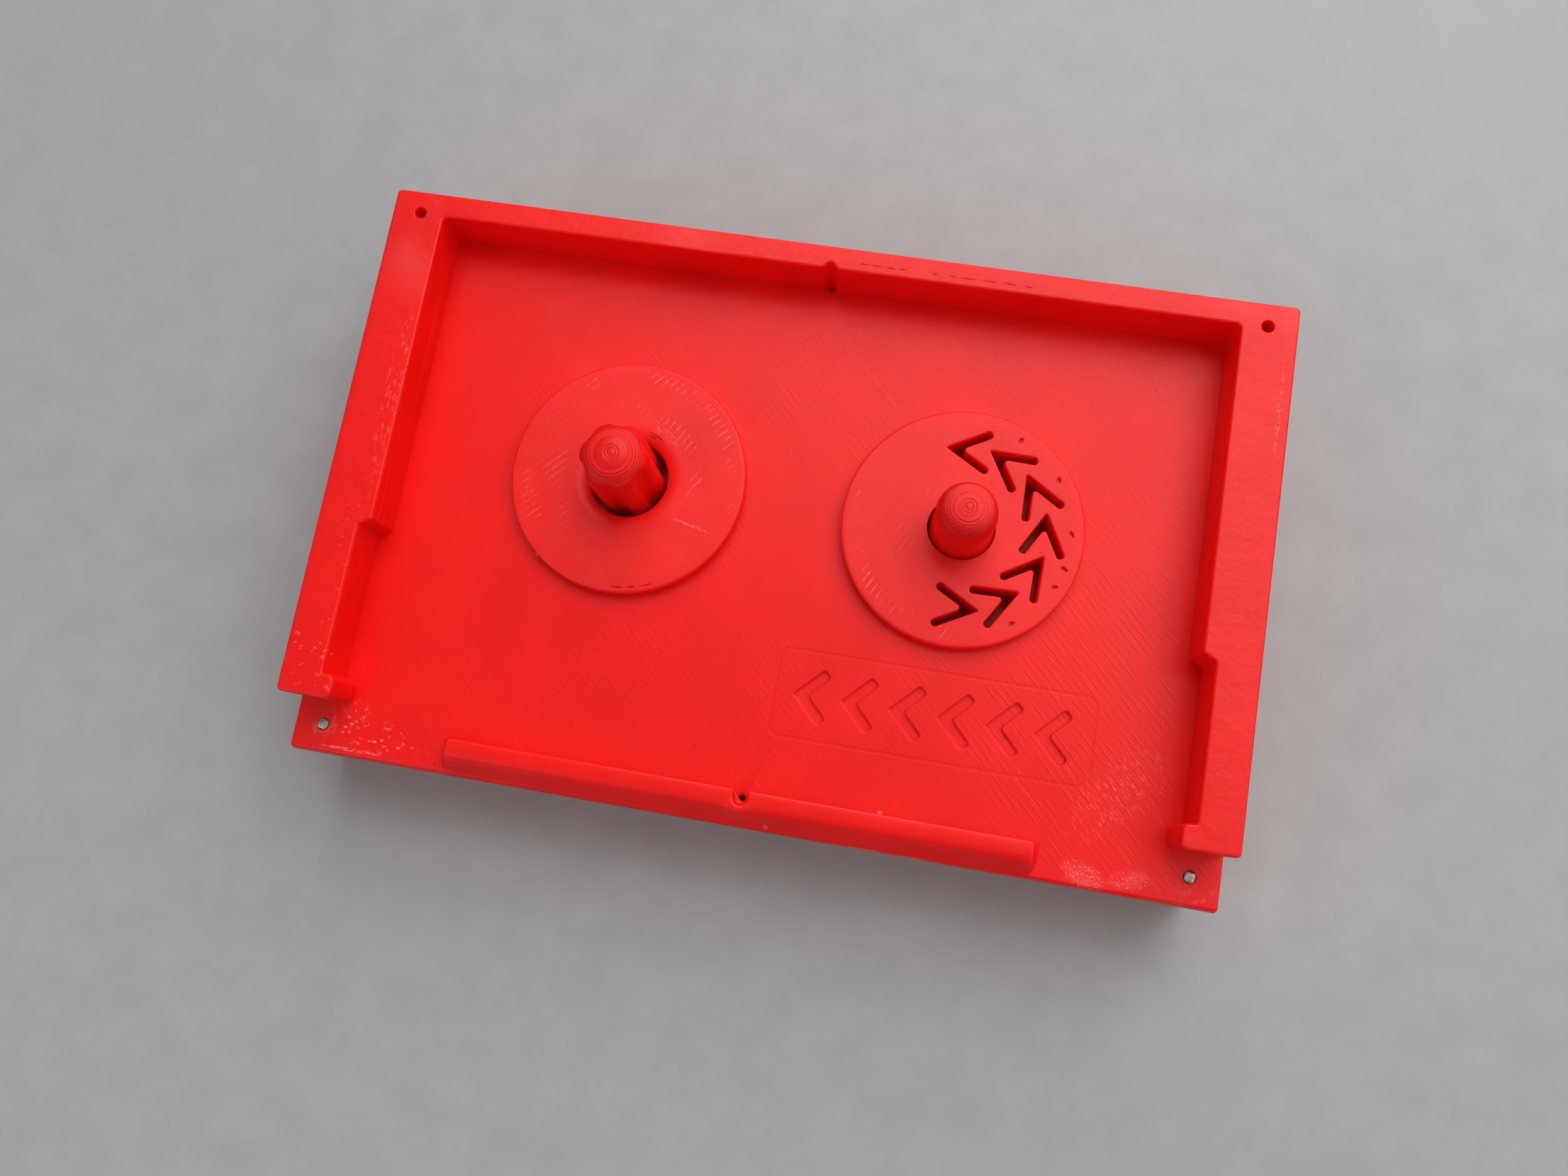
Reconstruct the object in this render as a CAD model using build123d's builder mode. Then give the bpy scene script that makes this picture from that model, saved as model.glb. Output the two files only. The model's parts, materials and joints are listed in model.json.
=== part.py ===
from build123d import *
import math
import os

# Hand-cranked cassette tape winder, in millimetres.
# X runs along the cassette, Y from the open front to the back wall, Z up from the table.
# The origin is the middle of the case's flat underside.

# The compact cassette that the tray is made for
cassette_width = 100.4
cassette_depth = 63.8
cassette_head_step = 1.65
hub_spacing = 42.5
hub_to_back_edge = 28.4

# Pocket that the cassette drops into
seat_gap_side = 0.25
seat_gap_end = 0.6
side_wall = 6.75
back_wall = 3.0
wall_height = 7.0
wall_reach = 63.0
relief_depth = 1.6
relief_start = 40.5
relief_length = 19.6
relief_slope = 0.8
wall_end_round = 0.8

# Floor plate of the tray and its low front rail
plate_thickness = 3.2
corner_round = 0.6
front_bevel = 0.8
rail_depth = 4.6
rail_height = 2.0
rail_top_width = 2.15
rail_length = 72.0
rail_end_slope = 1.1
rail_shift = -0.9

# Round bosses under the two hubs
head_gap = 0.15
boss_radius = 15.0
boss_rim = 0.45
wind_hole_radius = 5.05
wind_mouth_bevel = 0.8
post_mouth_bevel = 0.25

# Arrow slots round the drive post, pointing the way it turns
arrow_count = 7
arrow_orbit = 9.95
arrow_length = 5.25
arrow_width = 5.8
arrow_stroke = 0.93
arrow_tail_bevel = 0.28
arrow_sweep = 180.0

# Spindles
spindle_height = 12.4
dome_height = 3.6
dome_steps = 3
tip_flat_radius = 1.2
lobe_count = 6
lobe_reach = 4.6
lobe_radius = 1.3
lobe_core_radius = 3.75
post_radius = 3.7
post_shoulder = 0.25
post_running_gap = 0.2
foot_drop = 0.1
key_width = 5.0
key_gap = 0.05
wind_journal_radius = 2.4
journal_end_gap = 0.3

# Gear pair
drive_teeth = 44
pinion_teeth = 24
pressure_angle = 20.0
tooth_backlash = 0.3
tooth_root_gap = 0.25
gear_thickness = 3.0
gear_headroom = 0.4
seat_ring_width = 2.0
seat_ring_height = 0.2

# Gear case
case_wall = 2.4
case_floor = 2.4
case_foot_bevel = 0.4
running_gap = 0.08
pillar_radius = 5.5
rib_count = 4
rib_thickness = 1.6
rib_reach = 11.0
rib_drop = 1.4
nail_block_width = 5.8

# Crank in the recess of the underside
recess_radius = 21.0
recess_depth = 7.6
recess_mouth_bevel = 0.6
cup_wall = 1.8
web_thickness = 1.8
drive_journal_radius = 7.0
dial_side_gap = 1.8
dial_thickness = 2.4
dial_gap = 0.3
dial_edge_bevel = 0.5
tenon_width = 8.0
tenon_end_gap = 0.1
knob_margin = 1.7
knob_radius = 4.5
knob_height = 4.0
knob_gap = 0.1
knob_edge_bevel = 0.6

# Knob pin, dial screw and nails
pin_radius = 1.0
pin_head_radius = 2.0
pin_head_thickness = 0.7
pin_head_depth = 0.2
pin_end_gap = 0.1
head_clearance = 0.2
screw_radius = 1.5
screw_head_radius = 2.9
screw_head_height = 1.6
screw_length = 12.0
screw_drive_width = 1.7
screw_drive_depth = 1.0
pilot_gap = 0.02
pilot_spare = 0.5
nail_radius = 0.7
nail_hole_gap = 0.05
nail_head_radius = 1.5
nail_head_thickness = 0.7
nail_head_depth = 0.25
nail_tip_rise = 0.15
nail_side_inset = 3.65
nail_back_inset = 2.9
nail_front_inset = 3.6
middle_hole_radius = 0.8
middle_mouth_round = 0.35
rail_hole_wall = 1.4

# Plan sizes that follow
pocket_width = cassette_width + 2 * seat_gap_side
pocket_depth = cassette_depth + 2 * seat_gap_end
case_length = pocket_width + 2 * side_wall
case_depth = back_wall + pocket_depth + rail_depth
back_y = case_depth / 2
front_y = -case_depth / 2
pocket_back_y = back_y - back_wall
rail_inner_y = pocket_back_y - pocket_depth
axis_y = pocket_back_y - seat_gap_end - hub_to_back_edge
wind_x = -hub_spacing / 2
drive_x = hub_spacing / 2
dial_radius = recess_radius - dial_side_gap
knob_y = axis_y + dial_radius - knob_margin - knob_radius
nail_x = case_length / 2 - nail_side_inset
nail_back_y = back_y - nail_back_inset
nail_front_y = front_y + nail_front_inset
nail_hole_radius = nail_radius + nail_hole_gap

# Levels above the table that follow
web_top = recess_depth + web_thickness
gear_bottom = web_top + seat_ring_height
gear_top = gear_bottom + gear_thickness
seam_z = gear_top + gear_headroom
floor_top = seam_z + plate_thickness
wall_top = floor_top + wall_height
boss_top = floor_top + cassette_head_step + head_gap
spindle_top = floor_top + spindle_height
dome_start = spindle_top - dome_height
dial_top = recess_depth - dial_gap
dial_bottom = dial_top - dial_thickness
knob_top = dial_bottom - knob_gap
knob_bottom = knob_top - knob_height
nail_head_top = nail_head_depth + nail_head_thickness
pin_head_top = knob_bottom + pin_head_depth + pin_head_thickness

# The drive post's foot turns in the tray's hole and ends just below the boss's top
foot_radius = post_radius + post_shoulder
post_hole_radius = foot_radius + post_running_gap
foot_top = boss_top - foot_drop

# Gear sizes that follow from the hub spacing
gear_module = 2 * hub_spacing / (drive_teeth + pinion_teeth)

nail_places = {
    "nail_back_left": (-nail_x, nail_back_y),
    "nail_back_right": (nail_x, nail_back_y),
    "nail_front_left": (-nail_x, nail_front_y),
    "nail_front_right": (nail_x, nail_front_y),
}
middle_holes = [(0, nail_back_y), (0, nail_front_y)]

os.makedirs("parts", exist_ok=True)


def polar(radius, angle):
    """Point at a radius and an angle in radians."""
    return (radius * math.cos(angle), radius * math.sin(angle))


def involute(angle):
    """Involute function of a pressure angle in radians."""
    return math.tan(angle) - angle


def gear_outline(teeth, first_tooth_angle):
    """Corner points of a spur gear, tooth by tooth, with three points on each involute flank."""
    pitch_radius = gear_module * teeth / 2
    base_radius = pitch_radius * math.cos(math.radians(pressure_angle))
    tip_radius = pitch_radius + gear_module
    root_radius = pitch_radius - gear_module * (1 + tooth_root_gap)
    half_tooth = (math.pi * gear_module / 2 - tooth_backlash / 2) / 2 / pitch_radius
    half_tooth_at_base = half_tooth + involute(math.radians(pressure_angle))

    def half_angle(radius):
        """Half of the tooth's angular width at a radius."""
        if radius <= base_radius:
            return half_tooth_at_base
        return half_tooth_at_base - involute(math.acos(base_radius / radius))

    flank_radii = (root_radius, pitch_radius, tip_radius)
    points = []
    for tooth in range(teeth):
        middle = first_tooth_angle + tooth * 2 * math.pi / teeth
        points += [polar(r, middle - half_angle(r)) for r in flank_radii]
        points += [polar(r, middle + half_angle(r)) for r in reversed(flank_radii)]
    return points


def dome_profile(axis_x, radius):
    """Points of a dome's outline from its widest ring to the edge of its small flat tip."""
    turns = [math.pi / 2 * step / dome_steps for step in range(dome_steps + 1)]
    reach = radius - tip_flat_radius
    return [
        (axis_x + tip_flat_radius + reach * math.cos(turn), dome_start + dome_height * math.sin(turn))
        for turn in turns
    ]


# Arrow slot, its point along +Y of its own place on the ring of arrows
arrow_half_angle = math.atan(arrow_width / 2 / arrow_length)
arrow_tip_y = arrow_length * 2 / 3
arrow_tail_y = arrow_tip_y - arrow_length
tail_dx = arrow_stroke * math.cos(arrow_half_angle)
tail_dy = arrow_stroke * math.sin(arrow_half_angle)
with BuildSketch() as arrow:
    with BuildLine():
        Polyline(
            (0, arrow_tip_y),
            (arrow_width / 2, arrow_tail_y),
            (arrow_width / 2 - tail_dx, arrow_tail_y - tail_dy),
            (0, arrow_tip_y - arrow_stroke / math.sin(arrow_half_angle)),
            (-arrow_width / 2 + tail_dx, arrow_tail_y - tail_dy),
            (-arrow_width / 2, arrow_tail_y),
            close=True,
        )
    make_face()
    chamfer(arrow.vertices().group_by(Axis.Y)[0], arrow_tail_bevel)
    chamfer(arrow.vertices().filter_by(lambda v: abs(v.Y - arrow_tail_y) < 0.01), arrow_tail_bevel)

# Front rail: upright inner face, flat top, long front slope down to the plate's front edge
rail_foot_z = floor_top - front_bevel
rail_profile = [
    (rail_inner_y, rail_foot_z),
    (rail_inner_y, floor_top + rail_height),
    (rail_inner_y - rail_top_width, floor_top + rail_height),
    (front_y, rail_foot_z),
]
rail_half_top = rail_length / 2
rail_half_foot = rail_half_top + rail_end_slope
with BuildPart() as rail:
    with BuildSketch(Plane.YZ.offset(rail_shift)):
        with BuildLine():
            Polyline(*rail_profile, close=True)
        make_face()
    extrude(amount=rail_half_foot, both=True)
    # The bulge that leaves a wall round the middle hole
    with BuildSketch(Plane.XY.offset(rail_foot_z)):
        with Locations((0, nail_front_y)):
            Circle(middle_hole_radius + rail_hole_wall)
    extrude(amount=rail_height + front_bevel)
    # Straight inner face, with a rounded mouth where the middle hole opens into it
    with BuildSketch(Plane.XY.offset(rail_foot_z)) as rail_plan:
        with Locations((0, rail_inner_y - rail_depth / 2)):
            Rectangle(case_length, rail_depth)
        with Locations((0, nail_front_y)):
            Circle(middle_hole_radius, mode=Mode.SUBTRACT)
        with Locations((0, (rail_inner_y + nail_front_y) / 2)):
            Rectangle(2 * middle_hole_radius, rail_inner_y - nail_front_y, mode=Mode.SUBTRACT)
        inner_corners = rail_plan.vertices().group_by(Axis.Y)[-1]
        fillet(inner_corners.filter_by(lambda v: abs(v.X) < rail_half_top), middle_mouth_round)
    extrude(amount=rail_height + front_bevel, mode=Mode.INTERSECT)
    # The ends lean back to the top
    with BuildSketch(Plane.XZ.offset(-back_y)):
        with BuildLine():
            Polyline(
                (rail_shift - rail_half_foot, rail_foot_z),
                (rail_shift - rail_half_top, floor_top + rail_height),
                (rail_shift + rail_half_top, floor_top + rail_height),
                (rail_shift + rail_half_foot, rail_foot_z),
                close=True,
            )
        make_face()
    extrude(amount=case_depth, mode=Mode.INTERSECT)

# Tray: floor plate, three walls, rail, bosses, arrow slots and holes in one printed piece
half_length = case_length / 2
half_pocket = pocket_width / 2
relief_x = half_pocket + relief_depth
relief_start_y = pocket_back_y - relief_start
relief_end_y = relief_start_y - relief_length
wall_end_y = pocket_back_y - wall_reach
with BuildPart() as tray:
    with BuildSketch(Plane.XY.offset(seam_z)):
        Rectangle(case_length, case_depth)
    extrude(amount=plate_thickness)
    front_top_edge = tray.edges().group_by(Axis.Z)[-1].filter_by(Axis.X).sort_by(Axis.Y)[0]
    chamfer(front_top_edge, front_bevel)
    fillet(tray.edges().filter_by(Axis.Z), corner_round)
    with BuildSketch(Plane.XY.offset(floor_top)) as walls:
        with BuildLine():
            Polyline(
                (0, back_y),
                (half_length, back_y),
                (half_length, wall_end_y),
                (half_pocket, wall_end_y),
                (half_pocket, relief_end_y),
                (relief_x, relief_end_y),
                (relief_x, relief_start_y - relief_slope),
                (half_pocket, relief_start_y),
                (half_pocket, pocket_back_y),
                (0, pocket_back_y),
                close=True,
            )
        make_face()
        outer_corners = walls.vertices().filter_by(lambda v: abs(v.X - half_length) < 0.01)
        fillet(outer_corners, corner_round)
        foot_corners = walls.vertices().filter_by(
            lambda v: abs(v.X - half_pocket) < 0.01 and v.Y < relief_end_y + 0.01
        )
        fillet(foot_corners, wall_end_round)
        mirror(about=Plane.YZ)
        with Locations(middle_holes[0]):
            Circle(middle_hole_radius, mode=Mode.SUBTRACT)
        groove_corners = walls.vertices().filter_by(
            lambda v: abs(v.X) < middle_hole_radius and abs(v.Y - pocket_back_y) < 0.01
        )
        fillet(groove_corners.filter_by(lambda v: abs(v.X) > 0.01), middle_mouth_round)
    extrude(amount=wall_height)
    add(rail.part)
    with BuildSketch(Plane.XY.offset(floor_top)):
        with Locations((wind_x, axis_y), (drive_x, axis_y)):
            Circle(boss_radius)
    extrude(amount=boss_top - floor_top)
    rims = tray.edges().filter_by(GeomType.CIRCLE)
    chamfer(rims.filter_by(lambda e: abs(e.radius - boss_radius) < 0.01).group_by(Axis.Z)[-1], boss_rim)
    with BuildSketch(Plane.XY.offset(seam_z)):
        with Locations((wind_x, axis_y)):
            Circle(wind_hole_radius)
        with Locations((drive_x, axis_y)):
            Circle(post_hole_radius)
            with PolarLocations(arrow_orbit, arrow_count, -arrow_sweep / 2, arrow_sweep, endpoint=True):
                add(arrow.sketch)
    extrude(amount=boss_top - seam_z, mode=Mode.SUBTRACT)
    for hole_radius, mouth_bevel in ((wind_hole_radius, wind_mouth_bevel), (post_hole_radius, post_mouth_bevel)):
        circles = tray.edges().filter_by(GeomType.CIRCLE)
        mouth = circles.filter_by(lambda e: abs(e.radius - hole_radius) < 0.01).sort_by(Axis.Z)[-1]
        chamfer(mouth, mouth_bevel)
    # Four nail holes, and the two middle holes that open into the back wall's face and the rail
    with BuildSketch(Plane.XY.offset(seam_z)):
        with Locations(*nail_places.values()):
            Circle(nail_hole_radius)
        with Locations(*middle_holes):
            Circle(middle_hole_radius)
    extrude(amount=wall_top - seam_z, mode=Mode.SUBTRACT)
tray.part.label = "tray"
export_step(tray.part, "parts/tray.step")

# Gear case: box with bearing pillar, crank recess and nail blocks, open upwards
with BuildPart() as gear_case:
    with BuildSketch():
        RectangleRounded(case_length, case_depth, corner_round)
    extrude(amount=seam_z)
    chamfer(gear_case.faces().sort_by(Axis.Z)[0].edges(), case_foot_bevel)
    with BuildSketch(Plane.XY.offset(case_floor)):
        RectangleRounded(case_length - 2 * case_wall, case_depth - 2 * case_wall, corner_round)
    extrude(amount=seam_z - case_floor, mode=Mode.SUBTRACT)
    with BuildSketch(Plane.XY.offset(case_floor)):
        with Locations(*nail_places.values(), *middle_holes):
            Rectangle(nail_block_width, nail_block_width)
        Rectangle(case_length - case_wall, case_depth - case_wall, mode=Mode.INTERSECT)
    extrude(amount=seam_z - case_floor)
    with BuildSketch(Plane.XY.offset(case_floor)):
        with Locations((drive_x, axis_y)):
            Circle(recess_radius + cup_wall)
    extrude(amount=web_top - case_floor)
    with BuildSketch(Plane.XY.offset(web_top)):
        with Locations((drive_x, axis_y)):
            Circle(drive_journal_radius + running_gap + seat_ring_width)
    extrude(amount=seat_ring_height)
    with BuildSketch(Plane.XY.offset(case_floor)):
        with Locations((wind_x, axis_y)):
            Circle(pillar_radius)
    extrude(amount=gear_bottom - case_floor)
    with BuildSketch(Plane.XY.offset(case_floor)):
        with Locations((wind_x, axis_y)):
            with PolarLocations(rib_reach / 2, rib_count):
                Rectangle(rib_reach, rib_thickness)
    extrude(amount=gear_bottom - rib_drop - case_floor)
    with BuildSketch():
        with Locations((drive_x, axis_y)):
            Circle(recess_radius)
    extrude(amount=recess_depth, mode=Mode.SUBTRACT)
    mouth = gear_case.edges().filter_by(GeomType.CIRCLE).group_by(Axis.Z)[0]
    chamfer(mouth.filter_by(lambda e: abs(e.radius - recess_radius) < 0.01), recess_mouth_bevel)
    with BuildSketch(Plane.XY.offset(recess_depth)):
        with Locations((drive_x, axis_y)):
            Circle(drive_journal_radius + running_gap)
    extrude(amount=gear_bottom - recess_depth, mode=Mode.SUBTRACT)
    with BuildSketch(Plane.XY.offset(case_floor)):
        with Locations((wind_x, axis_y)):
            Circle(wind_journal_radius + running_gap)
    extrude(amount=gear_bottom - case_floor, mode=Mode.SUBTRACT)
    with BuildSketch():
        with Locations(*nail_places.values()):
            Circle(nail_hole_radius)
        with Locations(*middle_holes):
            Circle(middle_hole_radius)
    extrude(amount=seam_z, mode=Mode.SUBTRACT)
    with BuildSketch():
        with Locations(*nail_places.values()):
            Circle(nail_head_radius + head_clearance)
    extrude(amount=nail_head_top, mode=Mode.SUBTRACT)
gear_case.part.label = "gear_case"
export_step(gear_case.part, "parts/gear_case.step")

# Drive gear: large gear with a round journal below that carries the dial's square tenon
half_step = math.pi / drive_teeth
drive_first_tooth = math.pi + half_step
with BuildPart() as drive_gear:
    with BuildSketch(Plane.XY.offset(gear_bottom)):
        with Locations((drive_x, axis_y)):
            Polygon(*gear_outline(drive_teeth, drive_first_tooth), align=None)
    extrude(amount=gear_thickness)
    with BuildSketch(Plane.XY.offset(dial_top)):
        with Locations((drive_x, axis_y)):
            Circle(drive_journal_radius)
    extrude(amount=gear_bottom - dial_top)
    with BuildSketch(Plane.XY.offset(dial_top)):
        with Locations((drive_x, axis_y)):
            Rectangle(tenon_width + 2 * key_gap, tenon_width + 2 * key_gap)
    extrude(amount=gear_bottom - dial_top, mode=Mode.SUBTRACT)
    with BuildSketch(Plane.XY.offset(gear_bottom)):
        with Locations((drive_x, axis_y)):
            Rectangle(key_width + 2 * key_gap, key_width + 2 * key_gap)
    extrude(amount=gear_thickness, mode=Mode.SUBTRACT)
drive_gear.part.label = "drive_gear"
export_step(drive_gear.part, "parts/drive_gear.step")

# Pinion: small gear with a square bore, one tooth pointing at the drive gear
with BuildPart() as pinion_gear:
    with BuildSketch(Plane.XY.offset(gear_bottom)):
        with Locations((wind_x, axis_y)):
            Polygon(*gear_outline(pinion_teeth, 0), align=None)
            Rectangle(key_width + 2 * key_gap, key_width + 2 * key_gap, mode=Mode.SUBTRACT)
    extrude(amount=gear_thickness)
pinion_gear.part.label = "pinion_gear"
export_step(pinion_gear.part, "parts/pinion_gear.step")

# Winding spindle: six lobes under a dome, a square through the pinion and a journal below
with BuildPart() as winding_spindle:
    with BuildSketch(Plane.XY.offset(gear_top)):
        with Locations((wind_x, axis_y)):
            Circle(lobe_core_radius)
            with PolarLocations(lobe_reach - lobe_radius, lobe_count):
                Circle(lobe_radius)
    extrude(amount=spindle_top - gear_top)
    with BuildSketch(Plane.XZ.offset(-axis_y)):
        with BuildLine():
            Polyline(
                (wind_x, gear_top),
                (wind_x + lobe_reach, gear_top),
                *dome_profile(wind_x, lobe_reach),
                (wind_x, spindle_top),
                close=True,
            )
        make_face()
    revolve(axis=Axis((wind_x, axis_y, 0), (0, 0, 1)), mode=Mode.INTERSECT)
    with BuildSketch(Plane.XY.offset(gear_bottom)):
        with Locations((wind_x, axis_y)):
            Rectangle(key_width, key_width)
    extrude(amount=gear_thickness)
    with BuildSketch(Plane.XY.offset(case_floor + journal_end_gap)):
        with Locations((wind_x, axis_y)):
            Circle(wind_journal_radius)
    extrude(amount=gear_bottom - case_floor - journal_end_gap)
winding_spindle.part.label = "winding_spindle"
export_step(winding_spindle.part, "parts/winding_spindle.step")

# Drive post: plain round post for the free hub, squared through the drive gear
with BuildPart() as drive_post:
    with BuildSketch(Plane.XZ.offset(-axis_y)):
        with BuildLine():
            Polyline(
                (drive_x, gear_top),
                (drive_x + foot_radius, gear_top),
                (drive_x + foot_radius, foot_top),
                (drive_x + post_radius, foot_top),
                *dome_profile(drive_x, post_radius),
                (drive_x, spindle_top),
                close=True,
            )
        make_face()
    revolve(axis=Axis((drive_x, axis_y, 0), (0, 0, 1)))
    with BuildSketch(Plane.XY.offset(gear_bottom)):
        with Locations((drive_x, axis_y)):
            Rectangle(key_width, key_width)
    extrude(amount=gear_thickness)
    with BuildSketch(Plane.XY.offset(gear_bottom)):
        with Locations((drive_x, axis_y)):
            Circle(screw_radius + pilot_gap)
    extrude(amount=dial_bottom + screw_length + pilot_spare - gear_bottom, mode=Mode.SUBTRACT)
drive_post.part.label = "drive_post"
export_step(drive_post.part, "parts/drive_post.step")

# Crank dial: disc in the underside's recess, squared into the drive gear's journal
with BuildPart() as crank_dial:
    with BuildSketch(Plane.XY.offset(dial_bottom)):
        with Locations((drive_x, axis_y)):
            Circle(dial_radius)
    extrude(amount=dial_thickness)
    chamfer(crank_dial.edges().sort_by(Axis.Z)[0], dial_edge_bevel)
    with BuildSketch(Plane.XY.offset(dial_top)):
        with Locations((drive_x, axis_y)):
            Rectangle(tenon_width, tenon_width)
    extrude(amount=gear_bottom - tenon_end_gap - dial_top)
    with BuildSketch(Plane.XZ.offset(-axis_y)):
        with BuildLine():
            Polyline(
                (drive_x, dial_bottom),
                (drive_x + screw_head_radius + pilot_gap, dial_bottom),
                (drive_x + screw_radius + pilot_gap, dial_bottom + screw_head_height),
                (drive_x + screw_radius + pilot_gap, gear_bottom),
                (drive_x, gear_bottom),
                close=True,
            )
        make_face()
    revolve(axis=Axis((drive_x, axis_y, 0), (0, 0, 1)), mode=Mode.SUBTRACT)
    with BuildSketch(Plane.XY.offset(dial_bottom)):
        with Locations((drive_x, knob_y)):
            Circle(pin_radius + pilot_gap)
    extrude(amount=dial_thickness, mode=Mode.SUBTRACT)
crank_dial.part.label = "crank_dial"
export_step(crank_dial.part, "parts/crank_dial.step")

# Dial screw: countersunk head flush with the dial, straight into the drive post
with BuildPart() as dial_screw:
    with BuildSketch(Plane.XZ.offset(-axis_y)):
        with BuildLine():
            Polyline(
                (drive_x, dial_bottom),
                (drive_x + screw_head_radius, dial_bottom),
                (drive_x + screw_radius, dial_bottom + screw_head_height),
                (drive_x + screw_radius, dial_bottom + screw_length),
                (drive_x, dial_bottom + screw_length),
                close=True,
            )
        make_face()
    revolve(axis=Axis((drive_x, axis_y, 0), (0, 0, 1)))
    with BuildSketch(Plane.XY.offset(dial_bottom)):
        with Locations((drive_x, axis_y)):
            RegularPolygon(screw_drive_width, 6)
    extrude(amount=screw_drive_depth, mode=Mode.SUBTRACT)
dial_screw.part.label = "dial_screw"
export_step(dial_screw.part, "parts/dial_screw.step")

# Crank knob: short round finger grip that spins on its pin
with BuildPart() as crank_knob:
    with BuildSketch(Plane.XY.offset(knob_bottom)):
        with Locations((drive_x, knob_y)):
            Circle(knob_radius)
    extrude(amount=knob_height)
    chamfer(crank_knob.edges().sort_by(Axis.Z)[0], knob_edge_bevel)
    with BuildSketch(Plane.XY.offset(knob_bottom)):
        with Locations((drive_x, knob_y)):
            Circle(pin_radius + running_gap)
    extrude(amount=knob_height, mode=Mode.SUBTRACT)
    with BuildSketch(Plane.XY.offset(knob_bottom)):
        with Locations((drive_x, knob_y)):
            Circle(pin_head_radius + head_clearance)
    extrude(amount=pin_head_top + pin_end_gap - knob_bottom, mode=Mode.SUBTRACT)
crank_knob.part.label = "crank_knob"
export_step(crank_knob.part, "parts/crank_knob.step")

# Knob pin: flat-headed pin pressed into the dial
with BuildPart() as knob_pin:
    with BuildSketch(Plane.XY.offset(knob_bottom + pin_head_depth)):
        with Locations((drive_x, knob_y)):
            Circle(pin_head_radius)
    extrude(amount=pin_head_thickness)
    with BuildSketch(Plane.XY.offset(pin_head_top)):
        with Locations((drive_x, knob_y)):
            Circle(pin_radius)
    extrude(amount=dial_top - pin_end_gap - pin_head_top)
knob_pin.part.label = "knob_pin"
export_step(knob_pin.part, "parts/knob_pin.step")

# Nails from below through case and tray, their front tips cut off just proud of the floor
for nail_name, nail_place in nail_places.items():
    with BuildPart() as nail:
        with BuildSketch(Plane.XY.offset(nail_head_depth)):
            with Locations(nail_place):
                Circle(nail_head_radius)
        extrude(amount=nail_head_thickness)
        with BuildSketch(Plane.XY.offset(nail_head_top)):
            with Locations(nail_place):
                Circle(nail_radius)
        extrude(amount=floor_top + nail_tip_rise - nail_head_top)
    nail.part.label = nail_name
    export_step(nail.part, f"parts/{nail_name}.step")
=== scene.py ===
"""Dressed model of a hand-cranked cassette tape winder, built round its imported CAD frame.

Sizes are in millimetres in the part's own frame: X along the cassette, Y from the open front to the
back wall, Z up from the table.  A mesh is scaled to metres when it is handed to Blender.
"""

import json
import logging
import math
from dataclasses import dataclass, field
from enum import Enum
from typing import Optional, Sequence, Union

import bmesh
import bpy
import numpy as np
from mathutils import Matrix, Vector
from mathutils.geometry import delaunay_2d_cdt

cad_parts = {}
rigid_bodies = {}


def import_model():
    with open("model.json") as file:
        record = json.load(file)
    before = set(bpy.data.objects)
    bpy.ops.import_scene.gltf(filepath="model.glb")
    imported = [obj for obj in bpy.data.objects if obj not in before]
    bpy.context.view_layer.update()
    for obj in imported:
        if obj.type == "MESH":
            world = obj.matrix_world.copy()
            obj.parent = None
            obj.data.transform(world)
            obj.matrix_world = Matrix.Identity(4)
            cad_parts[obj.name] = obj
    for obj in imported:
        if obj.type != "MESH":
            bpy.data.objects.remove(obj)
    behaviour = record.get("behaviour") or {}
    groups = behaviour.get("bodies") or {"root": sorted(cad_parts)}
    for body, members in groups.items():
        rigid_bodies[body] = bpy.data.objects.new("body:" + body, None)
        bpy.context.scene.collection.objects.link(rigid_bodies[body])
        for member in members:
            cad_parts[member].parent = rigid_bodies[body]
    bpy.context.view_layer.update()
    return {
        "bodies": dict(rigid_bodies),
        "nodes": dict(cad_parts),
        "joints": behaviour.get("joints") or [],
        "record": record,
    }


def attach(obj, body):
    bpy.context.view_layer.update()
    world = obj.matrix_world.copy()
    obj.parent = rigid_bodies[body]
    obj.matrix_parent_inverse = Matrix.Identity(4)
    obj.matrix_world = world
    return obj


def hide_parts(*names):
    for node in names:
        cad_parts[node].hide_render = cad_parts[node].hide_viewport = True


Array = np.ndarray
Colour = tuple[float, float, float]
Pair = tuple[float, float]
Point = tuple[float, float, float]
Rows = Sequence[tuple[Union[Array, float], Union[Array, float]]]
Socket = bpy.types.NodeSocket

LOG = logging.getLogger("tape_winder")
MM = 0.001
FULL_TURN = 2 * math.pi
CRISP = 32.0  # degrees; an edge sharper than this stays crisp
FLAT = 0.5  # degrees; CAD triangles that differ by less than this form one face
SAME_POINT = 1e-7  # metres; CAD points closer than this are one


class Body(Enum):
    """Bodies of the frame that a piece rides on."""

    CASE = "case"
    DRIVE = "drive"
    WINDER = "winder"
    KNOB = "knob"


class Slot(Enum):
    """Material slots of the record."""

    TRAY = "tray_plastic"
    CASE = "case_plastic"
    SPINDLE = "spindle_plastic"
    GEAR = "gear_plastic"
    DIAL = "dial_plastic"
    NAIL = "nail_steel"
    FIXING = "fixing_steel"


class Join(Enum):
    """Ways of combining two closed skins."""

    UNION = "UNION"
    DIFFERENCE = "DIFFERENCE"


class Mark(Enum):
    """Kinds of small marks in a patch."""

    FLECKS = "flecks"
    DOTS = "dots"


class TipCut(Enum):
    """How a nail's tip was left."""

    SNIPPED = "snipped"
    PLAIN = "plain"


# ---------------------------------------------------------------- plan outlines and profiles


def unit(vectors: Array) -> Array:
    """Vectors scaled to length one along the last axis."""
    return vectors / np.maximum(np.linalg.norm(vectors, axis=-1, keepdims=True), 1e-12)


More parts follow.
